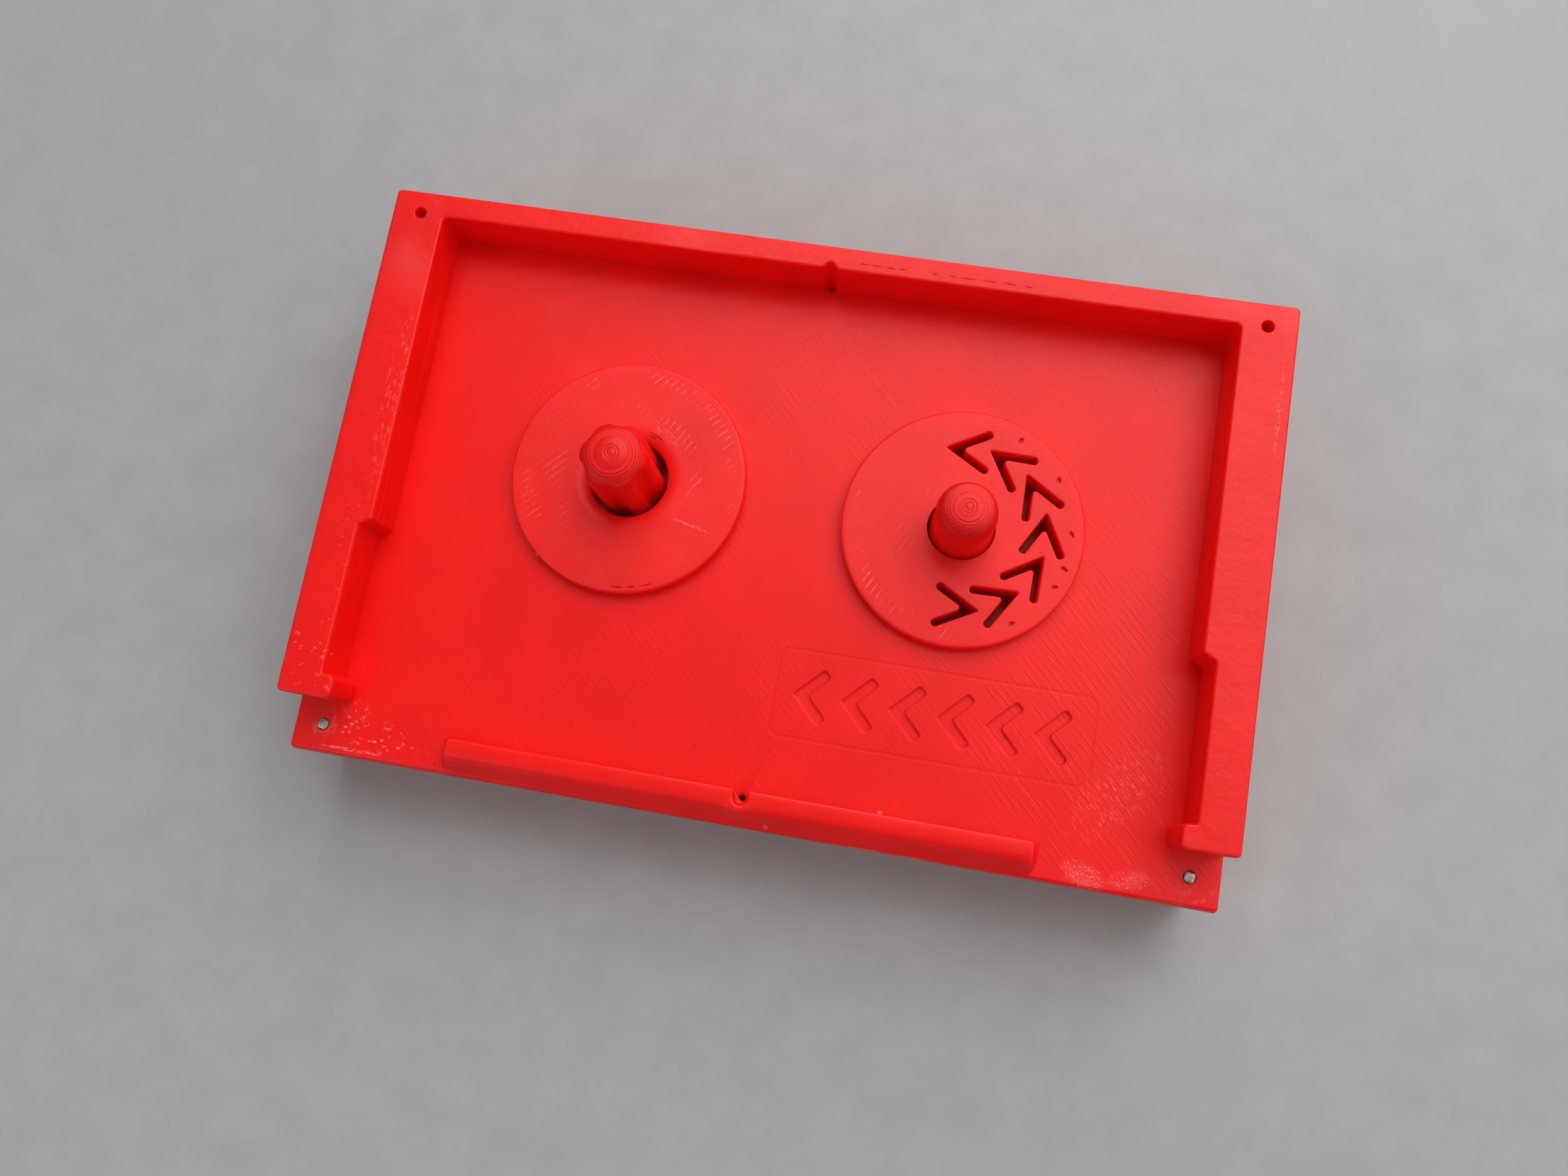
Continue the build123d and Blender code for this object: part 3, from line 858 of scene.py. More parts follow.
@dataclass(frozen=True)
class PrintedPlastic:
    """Printed red plastic: layers on upright faces, a diagonal raster on flat ones, pale scuffs,
    and painted shade and sheen along the raster lines and painted shade in the layer grooves.
    """

    name: str
    colour: Colour = (0.87, 0.0040, 0.0032)
    deep: Colour = (0.81, 0.0025, 0.0020)
    pale: Colour = (0.95, 0.19, 0.18)
    # Darker colour for the random blotches on the wall tops, and for the painted shade in layer
    # grooves
    blotch_and_groove_shade: Colour = (0.74, 0.003, 0.003)
    roughness: float = 0.40
    layer_pitch: float = 0.2
    raster_pitch: float = 0.83
    raster_turn: float = -45.0
    raster_depth: float = 0.028
    raised: Pair = (16.8, 17.2)
    ring_pitch: float = 0.42
    sheen: float = 0.32
    refraction: float = 1.46
    glow: float = 0.7
    glow_depth: float = 2.7
    glow_share: Colour = (1.0, 0.12, 0.10)
    ripple: float = 0.0
    ripple_level: float = 22.5
    contour: float = 0.0
    centres: tuple[Point, ...] = ()
    patches: tuple[Patch, ...] = ()
    ring_marks: tuple[RingMarks, ...] = ()
    strong: Optional[Patch] = None

    def raster(self, bench: Bench) -> tuple[Wire, Wire, Wire]:
        """Diagonal raster of the flat faces, whose lines cross over on the raised ones.

        Args:
            bench: the material's bench.

        Returns:
            Its height from 0 to 1, its coarse wave alone, and how far it shows.
        """
        crossed = bench.ramp(bench.z, *self.raised, -2.0)
        lead = (bench.y * (crossed + 1.0) + bench.x) * math.sqrt(0.5)
        lead += bench.noise((14, 3, 9), self.raster_turn) * 0.35
        fine = bench.wave(lead, self.raster_pitch / 2)
        coarse = bench.wave(lead, self.raster_pitch)
        amount = bench.ramp(bench.noise((11, 11, 11), 0.0, 1.0), 0.28, 0.70, 0.62)
        if self.strong is not None:
            amount = bench.math("ADD", amount, self.strong.mask(bench), clamp=True)
        broken = bench.ramp(bench.noise((2.6, 0.7, 5.0), self.raster_turn, 3.0, 0.6), 0.44, 0.60)
        return coarse * 0.24 + (fine * 0.14 + 0.5), coarse, amount * (broken * 0.92 + 0.08)

    def flat_height(self, bench: Bench, raster: Wire, amount: Wire) -> Wire:
        """Height of the flat faces: the raster, and fine rings along each round face's edge.

        Args:
            bench: the material's bench.
            raster: the raster's height.
            amount: how far it shows.

        Returns:
            The height round 0.
        """
        height = (raster - 0.5) * amount
        for x, y, reach in self.centres:
            away = bench.distance(x, y)
            edge = bench.ramp(away, reach, reach - 0.4)
            edge *= bench.ramp(away, reach - 1.6, reach - 1.0)
            height += bench.wave(away, self.ring_pitch) * (edge * 0.10)
        return height

    def material(self) -> bpy.types.Material:
        """Builds the material.

        Returns:
            The material.
        """
        bench = Bench(self.name)
        level = abs(bench.rise)
        flat, upright = bench.ramp(level, 0.75, 0.95), bench.ramp(level, 0.75, 0.40)
        tooth = bench.noise((0.35, 0.35, 0.35), 0.0, 3.0, 0.6)
        raster, coarse, amount = self.raster(bench)
        layers = bench.wave(bench.z + bench.noise((9, 9, 1)) * 0.10, self.layer_pitch)
        streaks = bench.noise((30.0, 30.0, 0.22))
        sides = layers * 0.16 + (streaks - 0.5) * 0.5
        height = self.flat_height(bench, raster, amount) * flat + sides * upright
        height += tooth * 0.22 + 0.3
        drift = bench.ramp(bench.noise((9.0, 9.0, 9.0)), 0.30, 0.72)
        colour = bench.mix(drift, self.deep, self.colour)
        if self.ripple:
            high = bench.ramp(bench.z, self.ripple_level, self.ripple_level + 0.3)
            height += bench.noise((2.4, 1.8, 1.5)) * (high * self.ripple)
            blotches = bench.ramp(bench.noise((1.6, 5.0, 1.5), 0.0, 3.0, 0.55), 0.46, 0.72, 0.28)
            colour = bench.mix(blotches * high * flat, colour, self.blotch_and_groove_shade)

        # The raster's troughs are deeper in tone as painted shade, and some of its crests are pale
        # dashes of painted sheen
        colour = bench.mix(raster * amount * flat * 0.32, colour, self.deep)
        crest_sheen = bench.ramp(coarse * -1.0, 0.55, 0.95)
        dashes = bench.noise((1.5, 0.45, 5.0), self.raster_turn, 2.0, 0.6)
        crest_sheen *= bench.ramp(dashes, 0.54, 0.66, 0.17)
        colour = bench.mix(crest_sheen * flat * amount, colour, self.pale)
        # Painted shade: where contour is set, the grooves between printed layers on slanted faces
        # take the darker blotch colour
        if self.contour:
            step = abs(bench.math("FRACT", bench.z / self.layer_pitch) - 0.5)
            slanted = bench.ramp(bench.rise, 0.25, 0.6) * bench.ramp(bench.rise, 0.995, 0.95)
            groove = bench.ramp(step, 0.28, 0.46) * slanted * self.contour
            colour = bench.mix(groove, colour, self.blotch_and_groove_shade)
        colour = bench.mix(bench.ramp(streaks, 0.62, 0.80, 0.25), colour, self.pale)
        rough = bench.ramp(tooth, 0.2, 0.8, 0.10) + (self.roughness - 0.05)
        masks = [mark.mask(bench) for mark in (*self.patches, *self.ring_marks)]
        # Pale marks: scuffs, and on the tray also painted sheen (the ring strokes) and a painted
        # highlight (the front edge line)
        if masks:
            worn = masks[0]
            for mask in masks[1:]:
                worn = bench.math("MAXIMUM", worn, mask)
            colour = bench.mix(worn, colour, self.pale)
            rough += worn * 0.15
        bench.shade(
            Base_Color=colour,
            Roughness=rough,
            Normal=bench.relief(height, self.raster_depth),
            IOR=self.refraction,
            Specular_IOR_Level=self.sheen,
            Subsurface_Weight=self.glow,
            Subsurface_Radius=self.glow_share,
            Subsurface_Scale=self.glow_depth * MM,
        )
        return bench.material


@dataclass(frozen=True)
class DrawnSteel:
    """Bright steel with fine drawing lines along it and dull spots."""

    name: str
    colour: Colour = (0.62, 0.59, 0.54)
    dull: Colour = (0.34, 0.31, 0.28)
    roughness: float = 0.30
    metallic: float = 0.9
    line_depth: float = 0.01

    def material(self) -> bpy.types.Material:
        """Builds the material.

        Returns:
            The material.
        """
        bench = Bench(self.name)
        lines = bench.noise((0.08, 0.6, 0.6), 20.0, 3.0)
        spots = bench.ramp(bench.noise((0.5, 0.5, 0.5), 0.0, 3.0), 0.45, 0.70)
        bench.shade(
            Base_Color=bench.mix(spots, self.colour, self.dull),
            Roughness=spots * 0.22 + (lines * 0.2 + (self.roughness - 0.1)),
            Normal=bench.relief(lines, self.line_depth),
            Metallic=self.metallic,
        )
        return bench.material


def dress(
    piece: bpy.types.Object, finish: bpy.types.Material, body: Body, slot: Slot, *nodes: str
) -> bpy.types.Object:
    """Gives a piece its finish and body, and hides the CAD nodes that it stands for.

    Args:
        piece: the finished object.
        finish: its material.
        body: the body that it rides on.
        slot: the record's slot that its finish belongs to; not used.
        nodes: names of the CAD nodes that it replaces.

    Returns:
        The same object.
    """
    piece.data.materials.clear()
    piece.data.materials.append(finish)
    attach(piece, body.value)
    if nodes:
        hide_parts(*nodes)
    LOG.info("%s: %d faces on %s", piece.name, len(piece.data.polygons), body.value)
    return piece


@dataclass
class Layout:
    """Places that the sub-assemblies share: the two upright axes and the four nails."""

    wind_x: float = -21.25
    drive_x: float = 21.25
    axis_y: float = 4.3
    nail_x: float = 53.55
    nail_back_y: float = 33.4
    nail_front_y: float = -32.7


# ---------------------------------------------------------------- tray


@dataclass(frozen=True)
class Chevron:
    """Plain chevron: its length and width, an arm's width, and its rounded tails and corner."""

    length: float
    width: float
    stroke: float
    tail: float
    apex: float
    tip: float = 0.14

    def outline(self) -> Array:
        """Outline round the origin, its tip along +Y.

        The inner edge is the outer one moved back by the stroke, square to the two arms.

        Returns:
            The outline, anticlockwise.
        """
        half = math.atan(self.width / 2 / self.length)
        tip, end, side = self.length * 2 / 3, -self.length / 3, self.width / 2
        dx, dy = self.stroke * math.cos(half), self.stroke * math.sin(half)
        right = [(side - dx, end - dy, self.tail), (side, end, self.tail)]
        left = [(-x, y, r) for x, y, r in reversed(right)]
        inner = (0.0, tip - self.stroke / math.sin(half), self.apex)
        return rounded([inner, *right, (0.0, tip, self.tip), *left], 5)


@dataclass
class Tray(Layout):
    """Top half: floor plate, three pocket walls, two bosses, arrow slots and the low front rail."""

    half_length: float = 57.2
    half_depth: float = 36.3
    bottom: float = 13.0
    floor: float = 16.2
    boss_top: float = 18.0
    wall_top: float = 23.2
    hair: float = 0.01  # how far the plate stays inside the walls' outer faces
    bury: float = 0.3  # how far above the plate's underside the raised forms start
    soft: float = 0.28  # rounding of the walls' upper edges
    bevel: float = 0.85
    bevel_reach: float = 0.32
    boss_radius: float = 15.0
    wind_hole: float = 5.05
    post_hole: float = 4.15
    arrow: Chevron = Chevron(length=5.25, width=5.8, stroke=0.95, tail=0.40, apex=0.38)
    arrow_count: int = 7
    arrow_orbit: float = 9.95
    pit_angles: tuple[float, ...] = (65.4, 35.6, 5.3, -14.0, -25.1, -55.5)
    pit_orbit: float = 13.3
    pit_depth: float = 0.55
    half_pocket: float = 50.45
    half_relief: float = 52.05
    pocket_back: float = 33.3
    wall_end: float = -29.7
    relief_end: float = -26.8
    relief_start: float = -7.2
    nail_hole: float = 0.75
    middle_hole: float = 0.8
    middle_foot: float = 0.36
    notch_half: float = 1.25
    notch_depth: float = 0.88
    notch_foot: Point = (0.0, 33.68, 0.38)
    rail_inner: float = -31.7
    rail_top: float = 18.2
    rail_foot: float = 15.4
    rail_root: float = 14.9
    rail_ends: Pair = (-38.0, 36.2)
    rail_lean: float = 1.1
    rail_edge: float = 0.3
    rail_slope: tuple[Pair, ...] = (
        (-33.3, 18.2), (-33.65, 18.15), (-34.0, 17.98), (-34.3, 17.74), (-34.6, 17.43),
        (-34.9, 17.09), (-35.25, 16.71), (-35.6, 16.36), (-35.95, 16.02), (-36.22, 15.72),
    )
    nick: Pair = (3.5, -35.1)
    nick_size: Point = (0.32, 0.55, 0.22)
    motif: Chevron = Chevron(length=3.4, width=6.9, stroke=1.25, tail=0.45, apex=0.5)
    motif_count: int = 6
    motif_middle: Pair = (21.1, -19.1)
    motif_pitch: float = 5.9
    motif_depth: float = 0.5
    frame_size: Pair = (39.2, 11.2)
    frame_corner: float = 1.6
    frame_line: float = 0.32
    frame_depth: float = 0.045
    wall_slits: tuple[Pair, ...] = (
        (3.6, 1.1), (5.0, 1.5), (6.9, 1.2), (8.4, 1.1), (12.6, 0.8),
        (14.6, 1.1), (16.0, 2.3), (18.6, 2.2), (21.4, 1.9), (24.0, 1.2),
    )
    rim_slits: tuple[Point, ...] = ((-88.0, 7.0, 14.28), (-80.0, 5.0, 14.28), (-74.0, 8.0, 14.28))
    lip_slits: tuple[Point, ...] = ((61.0, 17.0, 5.98), (55.0, 20.0, 6.36))
    slit_line: float = 34.42
    slit_lean: float = 0.004
    floor_slits: tuple[tuple[Pair, Pair], ...] = (
        ((-53.0, -35.0), (-52.1, -34.9)),
        ((-38.75, -35.1), (-38.2, -35.2)),
        ((-6.98, -27.3), (-6.62, -27.35)),
    )
    bead_place: Pair = (14.86, -129.3)
    bead_radius: float = 0.42
    bead_rise: float = 0.33

    def plate(self) -> Skin:
        """Floor plate with its front bevel, its holes and the sunk, framed row of chevrons.

        Returns:
            The closed skin.
        """
        skin = Skin()
        bottom, floor = self.bottom, self.floor
        x, y = self.half_length - self.hair, self.half_depth - self.hair
        outline = rounded([(-x, -y, 0.35), (x, -y, 0.35), (x, y, 0.6), (-x, y, 0.6)])
        shape = soft_profile(bottom, floor, 0.22, 0.3)
        rows = [[0.0, floor - drop] for drop in (self.bevel, 0.7, 0.55, 0.4)]
        shape = np.insert(shape, int(np.argmax(shape[:, 1] > floor - 0.35)), rows, axis=0)
        plan = inset(outline, shape[:, 0])
        rise = np.clip((shape[:, 1] - floor + self.bevel) / self.bevel, 0, 1)
        front = np.clip(1 - (plan[..., 1] + self.half_depth) / 2.0, 0, 1)
        plan[..., 1] += self.bevel_reach * rise[:, None] * front
        sides = skin.levels(plan, shape[:, 1])
        low, top = [sides[0]], [sides[-1]]
        spots = [(x, self.axis_y, self.boss_radius - 1) for x in (self.drive_x, self.wind_x)]
        spots += [(side * self.nail_x, self.nail_back_y, 1.0) for side in (-1, 1)]
        for spot in (*spots, self.notch_foot):
            skin.bore(circle(*spot), soft_profile(bottom, floor, 0, 0.02, 1), low, top)
        for side in (-1, 1):
            hole = circle(side * self.nail_x, self.nail_front_y, self.nail_hole, 40)
            skin.bore(hole, soft_profile(bottom, floor, 0, 0.12), low, top)
        flare = soft_profile(bottom, floor, 0, self.middle_hole - 0.02 - self.middle_foot, 6)
        skin.bore(circle(0.0, self.nail_front_y, self.middle_foot, 40), flare[:-1], low, top)
        (mx, my), (wide, tall), r = self.motif_middle, self.frame_size, self.frame_corner
        signs = ((-1, -1), (1, -1), (1, 1), (-1, 1))
        frame = rounded([(mx + sx * wide / 2, my + sy * tall / 2, r) for sx, sy in signs], 8)
        groove = soft_profile(floor - self.frame_depth, floor, 0, 0.05, 2)
        outer = skin.wall(frame, groove, True)
        inner = skin.wall(inset(frame, np.array([self.frame_line]))[0], groove)
        skin.fill([outer[0], inner[0]], True)
        top.append(outer[-1])
        island = [inner[-1]]
        x, y = self.motif.outline().T
        for number in range(self.motif_count):
            shift = (number - (self.motif_count - 1) / 2) * self.motif_pitch
            sunk = soft_profile(floor - self.motif_depth, floor, 0, 0.16)
            skin.pocket(np.stack([mx + shift - y, my + x], axis=1), sunk, island)
        for loops, up in ((low, False), (top, True), (island, True)):
            skin.fill(loops, up)
        return skin

    def add_walls(self, skin: Skin) -> None:
        """Adds the U-shaped pocket wall, with its reliefs, back nail holes and middle groove.

        Args:
            skin: the skin that gets them.
        """
        across = np.linspace(-self.notch_half, self.notch_half, 21)
        bell = np.cos(across / self.notch_half * math.pi / 2) ** 2
        notch = self.pocket_back + self.notch_depth * bell
        pocket, relief = self.half_pocket, self.half_relief
        start, end = self.relief_start, self.relief_end
        inner = [
            (pocket, self.pocket_back, 0.7),
            (pocket, start, 0.5),
            (relief, start - 0.8, 0.35),
            (relief, end, 0.4),
            (pocket, end, 0.8),
            (pocket, self.wall_end, 0.8),
            (self.half_length, self.wall_end, 0.6),
            (self.half_length, self.half_depth, 0.6),
        ]
        mirrored = [(-x, y, r) for x, y, r in reversed(inner)]
        outline = rounded([*((x, y, 0.0) for x, y in zip(across, notch)), *inner, *mirrored], 6)
        foot = self.bottom + self.bury
        sides = skin.wall(outline, soft_profile(foot, self.wall_top, 0.2, self.soft))
        low, top = [sides[0]], [sides[-1]]
        for side in (-1, 1):
            hole = circle(side * self.nail_x, self.nail_back_y, self.nail_hole, 36)
            skin.bore(hole, soft_profile(foot, self.wall_top, 0, 0.14), low, top)
        skin.fill(low, False)
        skin.fill(top, True)

    def arrow_places(self) -> list[Array]:
        """Outlines of the arrow slots, pointing round the drive post.

        Returns:
            One outline per slot.
        """
        shape = self.arrow.outline() + [self.arrow_orbit, 0.0]
        turns = np.radians(np.linspace(-90, 90, self.arrow_count))
        return [turned(shape, turn) + [self.drive_x, self.axis_y] for turn in turns]

    def add_boss(
        self, skin: Skin, x: float, holes: list[tuple[Array, Array]], pits: Sequence[float] = ()
    ) -> None:
        """Adds one round boss with the holes that run down through it.

        Args:
            skin: the skin that gets the boss.
            x: the boss's X.
            holes: pairs of an outline and its edge profile.
            pits: angles in degrees of the small print pits near the rim.
        """
        foot, top = self.bottom + self.bury, self.boss_top
        rim = [(0.0, foot), (0.0, top - 0.30), (0.03, top - 0.19), (0.10, top - 0.10)]
        rim += [(0.20, top - 0.04), (0.34, top), (0.37, top)]
        sides = skin.wall(circle(x, self.axis_y, self.boss_radius, 128), np.array(rim))
        low, high = [sides[0]], [sides[-1]]
        for outline, profile in holes:
            skin.bore(outline, profile, low, high)
        t = ring_angles(14)
        for number, angle in enumerate(np.radians(pits)):
            size = 0.33 + 0.07 * math.sin(3.1 * number)
            long = size * (1.35 + 0.2 * np.cos(3 * t + number))
            pit = np.stack([long * np.cos(t), size * 0.8 * np.sin(t)], axis=1)
            pit = turned(pit, angle + number) + polar(x, self.axis_y, self.pit_orbit, angle)
            skin.pocket(pit, soft_profile(top - self.pit_depth, top, 0, 0.05, 2), high)
        skin.fill(low, False)
        skin.fill(high, True)

    def add_bosses(self, skin: Skin) -> None:
        """Adds the two bosses: one with the wide soft-lipped hole, one with the arrow slots.

        Args:
            skin: the skin that gets them.
        """
        foot, top = self.bottom + self.bury, self.boss_top
        t = np.linspace(0, math.pi / 2, 9)
        lip = np.stack([1.7 * (1 - np.cos(t)), top - 0.9 + 0.9 * np.sin(t)], axis=1)
        lip = np.vstack([[[0.0, foot]], lip, [[1.75, top]]])
        hub = circle(self.wind_x, self.axis_y, self.wind_hole, 96)
        self.add_boss(skin, self.wind_x, [(hub, lip)])
        edge = soft_profile(foot, top, 0, 0.16)
        t = np.radians(np.arange(0, 360, 4.5))
        worn = 0.26 * np.clip(np.cos(t - math.radians(186)), 0, 1) ** 3
        post = polar(self.drive_x, self.axis_y, self.post_hole - 0.1 + worn, t)
        holes = [(outline, edge) for outline in self.arrow_places()]
        holes.append((post, soft_profile(foot, top, 0, 0.08)))
        self.add_boss(skin, self.drive_x, holes, self.pit_angles)

    def add_rail(self, skin: Skin) -> None:
        """Adds the low front rail.

        A closed section is carried along X.  Its height above the root shrinks under a plane that
        leans in at each end, and is raised towards the flat top round the middle hole by a smooth
        step of the plan distance from that hole.  A nick beside it is a bell of e^-(u^2 + v^2).

        Args:
            skin: the skin that gets it.
        """
        turn, soft = np.linspace(0, math.pi / 2, 5), self.rail_edge
        inner, top, root = self.rail_inner, self.rail_top, self.rail_root
        edge = np.stack([inner - soft * (1 - np.cos(turn)), top - soft + soft * np.sin(turn)], 1)
        lip = [(inner, 15.6), (inner, 16.6), *edge, (-32.6, top)]
        foot = [(-35.95, 15.1), (-35.0, root), (-33.5, root), (inner, root)]
        section = np.array([*lip, *self.rail_slope, *foot])
        left, right = self.rail_ends
        lean = np.linspace(0, 2.4, 22)
        before, after = [-30.0, -22.0, -14.0, -8.0], [8.0, 14.0, 22.0, 29.0]
        middle = np.linspace(-3.4, 4.6, 49)
        stations = np.concatenate([left + lean, before, middle, after, (right - lean)[::-1]])
        x, y = np.meshgrid(stations, section[:, 0], indexing="ij")
        z = np.broadcast_to(section[:, 1], x.shape)
        end = np.minimum(x - left, right - x) / self.rail_lean * 2.8
        end = (self.rail_foot - root + end) / (top - root)
        z = root + (z - root) * smooth_min(end, np.ones_like(x), 0.07)
        away = np.hypot(x, y - self.nail_front_y)
        raised = z + (top - z) * (1 - smooth_step(away, 1.2, 2.8))
        (nick_x, nick_y), (long, wide, deep) = self.nick, self.nick_size
        dent = deep * np.exp(-(((x - nick_x) / long) ** 2) - ((y - nick_y) / wide) ** 2)
        z = np.where((z > root + 0.3) & (y < -33.0), raised - dent, z)
        points = np.stack([x, y, z], axis=2)
        number = skin.rings(points)
        skin.pole(number[0], points[0].mean(axis=0), True)
        skin.pole(number[-1], points[-1].mean(axis=0), False)

    def mouth(self) -> Skin:
        """Cutter for the round middle hole in the rail and its flared mouth in the inner face.

        One plan outline is carried up and spreads away from the hole's axis near the top.

        Returns:
            The closed skin.
        """
        skin = Skin()
        y, hole, flare, face = self.nail_front_y, self.middle_hole, 0.4, self.rail_inner + 0.05
        left = arc(-hole - flare, face - flare, flare, 90, 0, 7)
        right = arc(hole + flare, face - flare, flare, 180, 90, 7)
        back = np.array([[1.4, face + 0.5], [-1.4, face + 0.5]])
        key = np.vstack([left, arc(0, y, hole, 180, 360, 19), right, back])
        steps = np.array([[0.0, 14.5], [0.0, 17.5], [0.03, 17.8], [0.08, 18.0], [0.18, 18.12]])
        steps = np.vstack([steps, [[0.32, 18.2], [0.5, 18.7]]])
        plan = key + unit(key - [0, y]) * steps[:, :1, None]
        number = skin.levels(plan, steps[:, 1])
        skin.fill([number[0]], False)
        skin.fill([number[-1]], True)
        return skin

    def seams(self) -> Skin:
        """Cutter for thin wandering slits in the back wall's top, the left boss and the floor.

        Returns:
            The closed skin.
        """
        skin = Skin()
        draw = np.random.default_rng(11)

        def slit(plan: Array, level: float, width: float, tall: float, tip: float = 0.25) -> None:
            """Adds a strand along a plan line, thin at both ends.

            Args:
                plan: its line.
                level: its height.
                width: its half width.
                tall: its section's height as a share of its width.
                tip: where its taper starts, in radians.
            """
            count = len(plan)
            taper = np.sin(np.linspace(tip, math.pi - tip, count))
            skin.tube(np.column_stack([plan, np.full(count, level)]), width * taper, 6, tall)

        for start, length in self.wall_slits:
            x = np.linspace(start, start + length, 9)
            y = self.slit_line - self.slit_lean * (x - 3.6) + draw.normal(0, 0.035, 9)
            slit(np.column_stack([x, y]), self.wall_top + 0.01, 0.075, 3.0)
        for slits, lift in ((self.rim_slits, 0.01), (self.lip_slits, -0.02)):
            for start, sweep, reach in slits:
                t = np.radians(np.linspace(start, start + sweep, 9))
                line = polar(self.wind_x, self.axis_y, reach + draw.normal(0, 0.03, 9), t)
                slit(line, self.boss_top + lift, 0.13, 3.4)
        for start, end in self.floor_slits:
            slit(np.linspace(start, end, 7), self.floor + 0.01, 0.11, 2.0, 0.3)
        return skin

    def finish(self) -> PrintedPlastic:
        """The tray's plastic, with its scuffs where handling and printing left them, a faint pale
        tone over each boss top, pale ring strokes of painted sheen on the bosses, and a painted
        highlight along the front edge.

        Returns:
            The finish.
        """
        low, boss = self.floor, self.boss_top
        wind, drive = (self.wind_x, self.axis_y), (self.drive_x, self.axis_y)
        dots = Mark.DOTS
        patches = (
            Patch((-46.8, -33.1, low), (7, 2.5, 2), (0.80, 0.55, 2), -12, 0.20, 0.42, 1, dots),
            Patch((-50, -31.4, low), (4, 2.6, 2), (0.8, 0.5, 2), 30, 0.16, 0.38, 0.45, dots),
            Patch((-49.2, -35.3, low), (4.6, 0.25, 1.2), (0.7, 0.3, 1), -0.4, 0.42, 0.58, 0.75),
            Patch((-53.3, -33, low), (2, 1.5, 1), (0.7, 0.5, 1), 20, 0.42, 0.62, 0.35),
            Patch((41.4, -34.6, low), (3.2, 1.6, 2), (2.6, 1.3, 1), -20, 0.30, 0.75, 0.26),
            Patch((41.4, -34.6, low), (3.4, 1.7, 2), (0.34, 0.18, 1), -20, 0.52, 0.64, 0.85),
            Patch((46.8, -34.2, low), (2.9, 1.4, 2), (2.2, 1.3, 1), 10, 0.30, 0.75, 0.24),
            Patch((46.8, -34.2, low), (3.1, 1.5, 2), (0.36, 0.18, 1), 10, 0.54, 0.66, 0.7),
            Patch((54, -34.8, low), (3.2, 1.6, 2), (0.9, 0.6, 1), 20, 0.48, 0.72, 0.28),
            Patch((44.5, -24.5, low), (4.8, 9, 2), (1.1, 0.13, 1), -45, 0.57, 0.68, 0.65),
            Patch((3.5, -35.6, 16.8), (0.45, 0.35, 1.2), (0.4, 0.3, 1), -40, 0.30, 0.55, 0.6),
            Patch((-17.5, 10.5, boss), (3.4, 0.9, 0.8), (0.9, 0.25, 1), -40, 0.46, 0.66, 0.35),
            Patch((-53.5, -25, 23), (4, 6, 3), (1.2, 0.7, 2), 30, 0.14, 0.34, 0.75, dots),
            Patch((-53, -12, 23.1), (2.2, 13, 1.5), (0.9, 0.3, 1), 0, 0.60, 0.74, 0.3),
            Patch((-51.6, 8, 23.1), (1.4, 15, 1.2), (0.4, 0.9, 1), 0, 0.52, 0.70, 0.35),
            Patch((55.9, 23, 23.1), (0.35, 7, 1.2), (0.3, 0.5, 1), 0, 0.48, 0.62, 0.5),
            Patch((-12.2, -0.7, boss), (3.2, 0.22, 0.8), (0.5, 0.3, 1), -13, 0.40, 0.56, 0.6),
            # A faint pale tone over the whole top of each boss
            Patch((*wind, boss), (22, 22, 1.4), (3, 3, 3), 0, 0, 0.9, 0.08),
            Patch((*drive, boss), (22, 22, 1.4), (3, 3, 3), 0, 0, 0.9, 0.07),
            Patch((8.6, 21.2, low), (5.5, 0.22, 0.8), (2.5, 0.3, 1), -44, 0.40, 0.65, 0.14),
            Patch((16.75, -31.6, low), (0.35, 0.3, 1.5), (3, 3, 3), 0, 0.2, 0.4, 0.9),
            # Painted highlight: a pale line along the front edge at the foot of the rail's slope
            Patch((22, -36.2, 15.6), (17, 0.35, 0.5), (3, 0.4, 0.5), 0, 0.42, 0.60, 0.6),
            Patch((21.5, -33.6, 18), (9, 1.4, 1), (0.9, 0.12, 1), 55, 0.60, 0.74, 0.5),
        )
        # Painted sheen: pale strokes at the raster's pitch on the bosses, each ring shown only on
        # the side that faces one way
        marks = (
            RingMarks(*wind, 7, 9.8, boss, 60, 40, 75, 0.6),
            RingMarks(*wind, 12.4, 14.3, boss, 45, 60, 75, 0.85),
            RingMarks(*wind, 8, 13.9, boss, 45, 190, 55, 0.42),
            RingMarks(*drive, 12.2, 14.3, boss, 60, 215, 65, 0.9),
            RingMarks(*drive, 5, 10, boss, 60, 170, 60, 0.25),
        )
        return PrintedPlastic(
            "tray_red",
            centres=((*wind, self.boss_radius), (*drive, self.boss_radius)),
            patches=patches,
            ring_marks=marks,
            strong=Patch((44, -18, low), (22, 24, 4), (40, 40, 40), 0, 0.1, 0.2, 0.9),
            ripple=3.0,
        )

    def strand(self) -> Skin:
        """Stray strand of plastic that hangs in the mouth of the rail's middle hole.

        Returns:
            The closed skin.
        """
        skin = Skin()
        t = np.linspace(0, 1, 15)
        x, y = -1.25 + 1.45 * t, -31.85 - 1.3 * t + 0.12 * np.sin(7 * t)
        path = np.column_stack([x, y, 18.16 - 0.42 * np.sin(math.pi * t)])
        skin.tube(path, 0.075 + 0.03 * np.sin(9 * t), 8)
        return skin

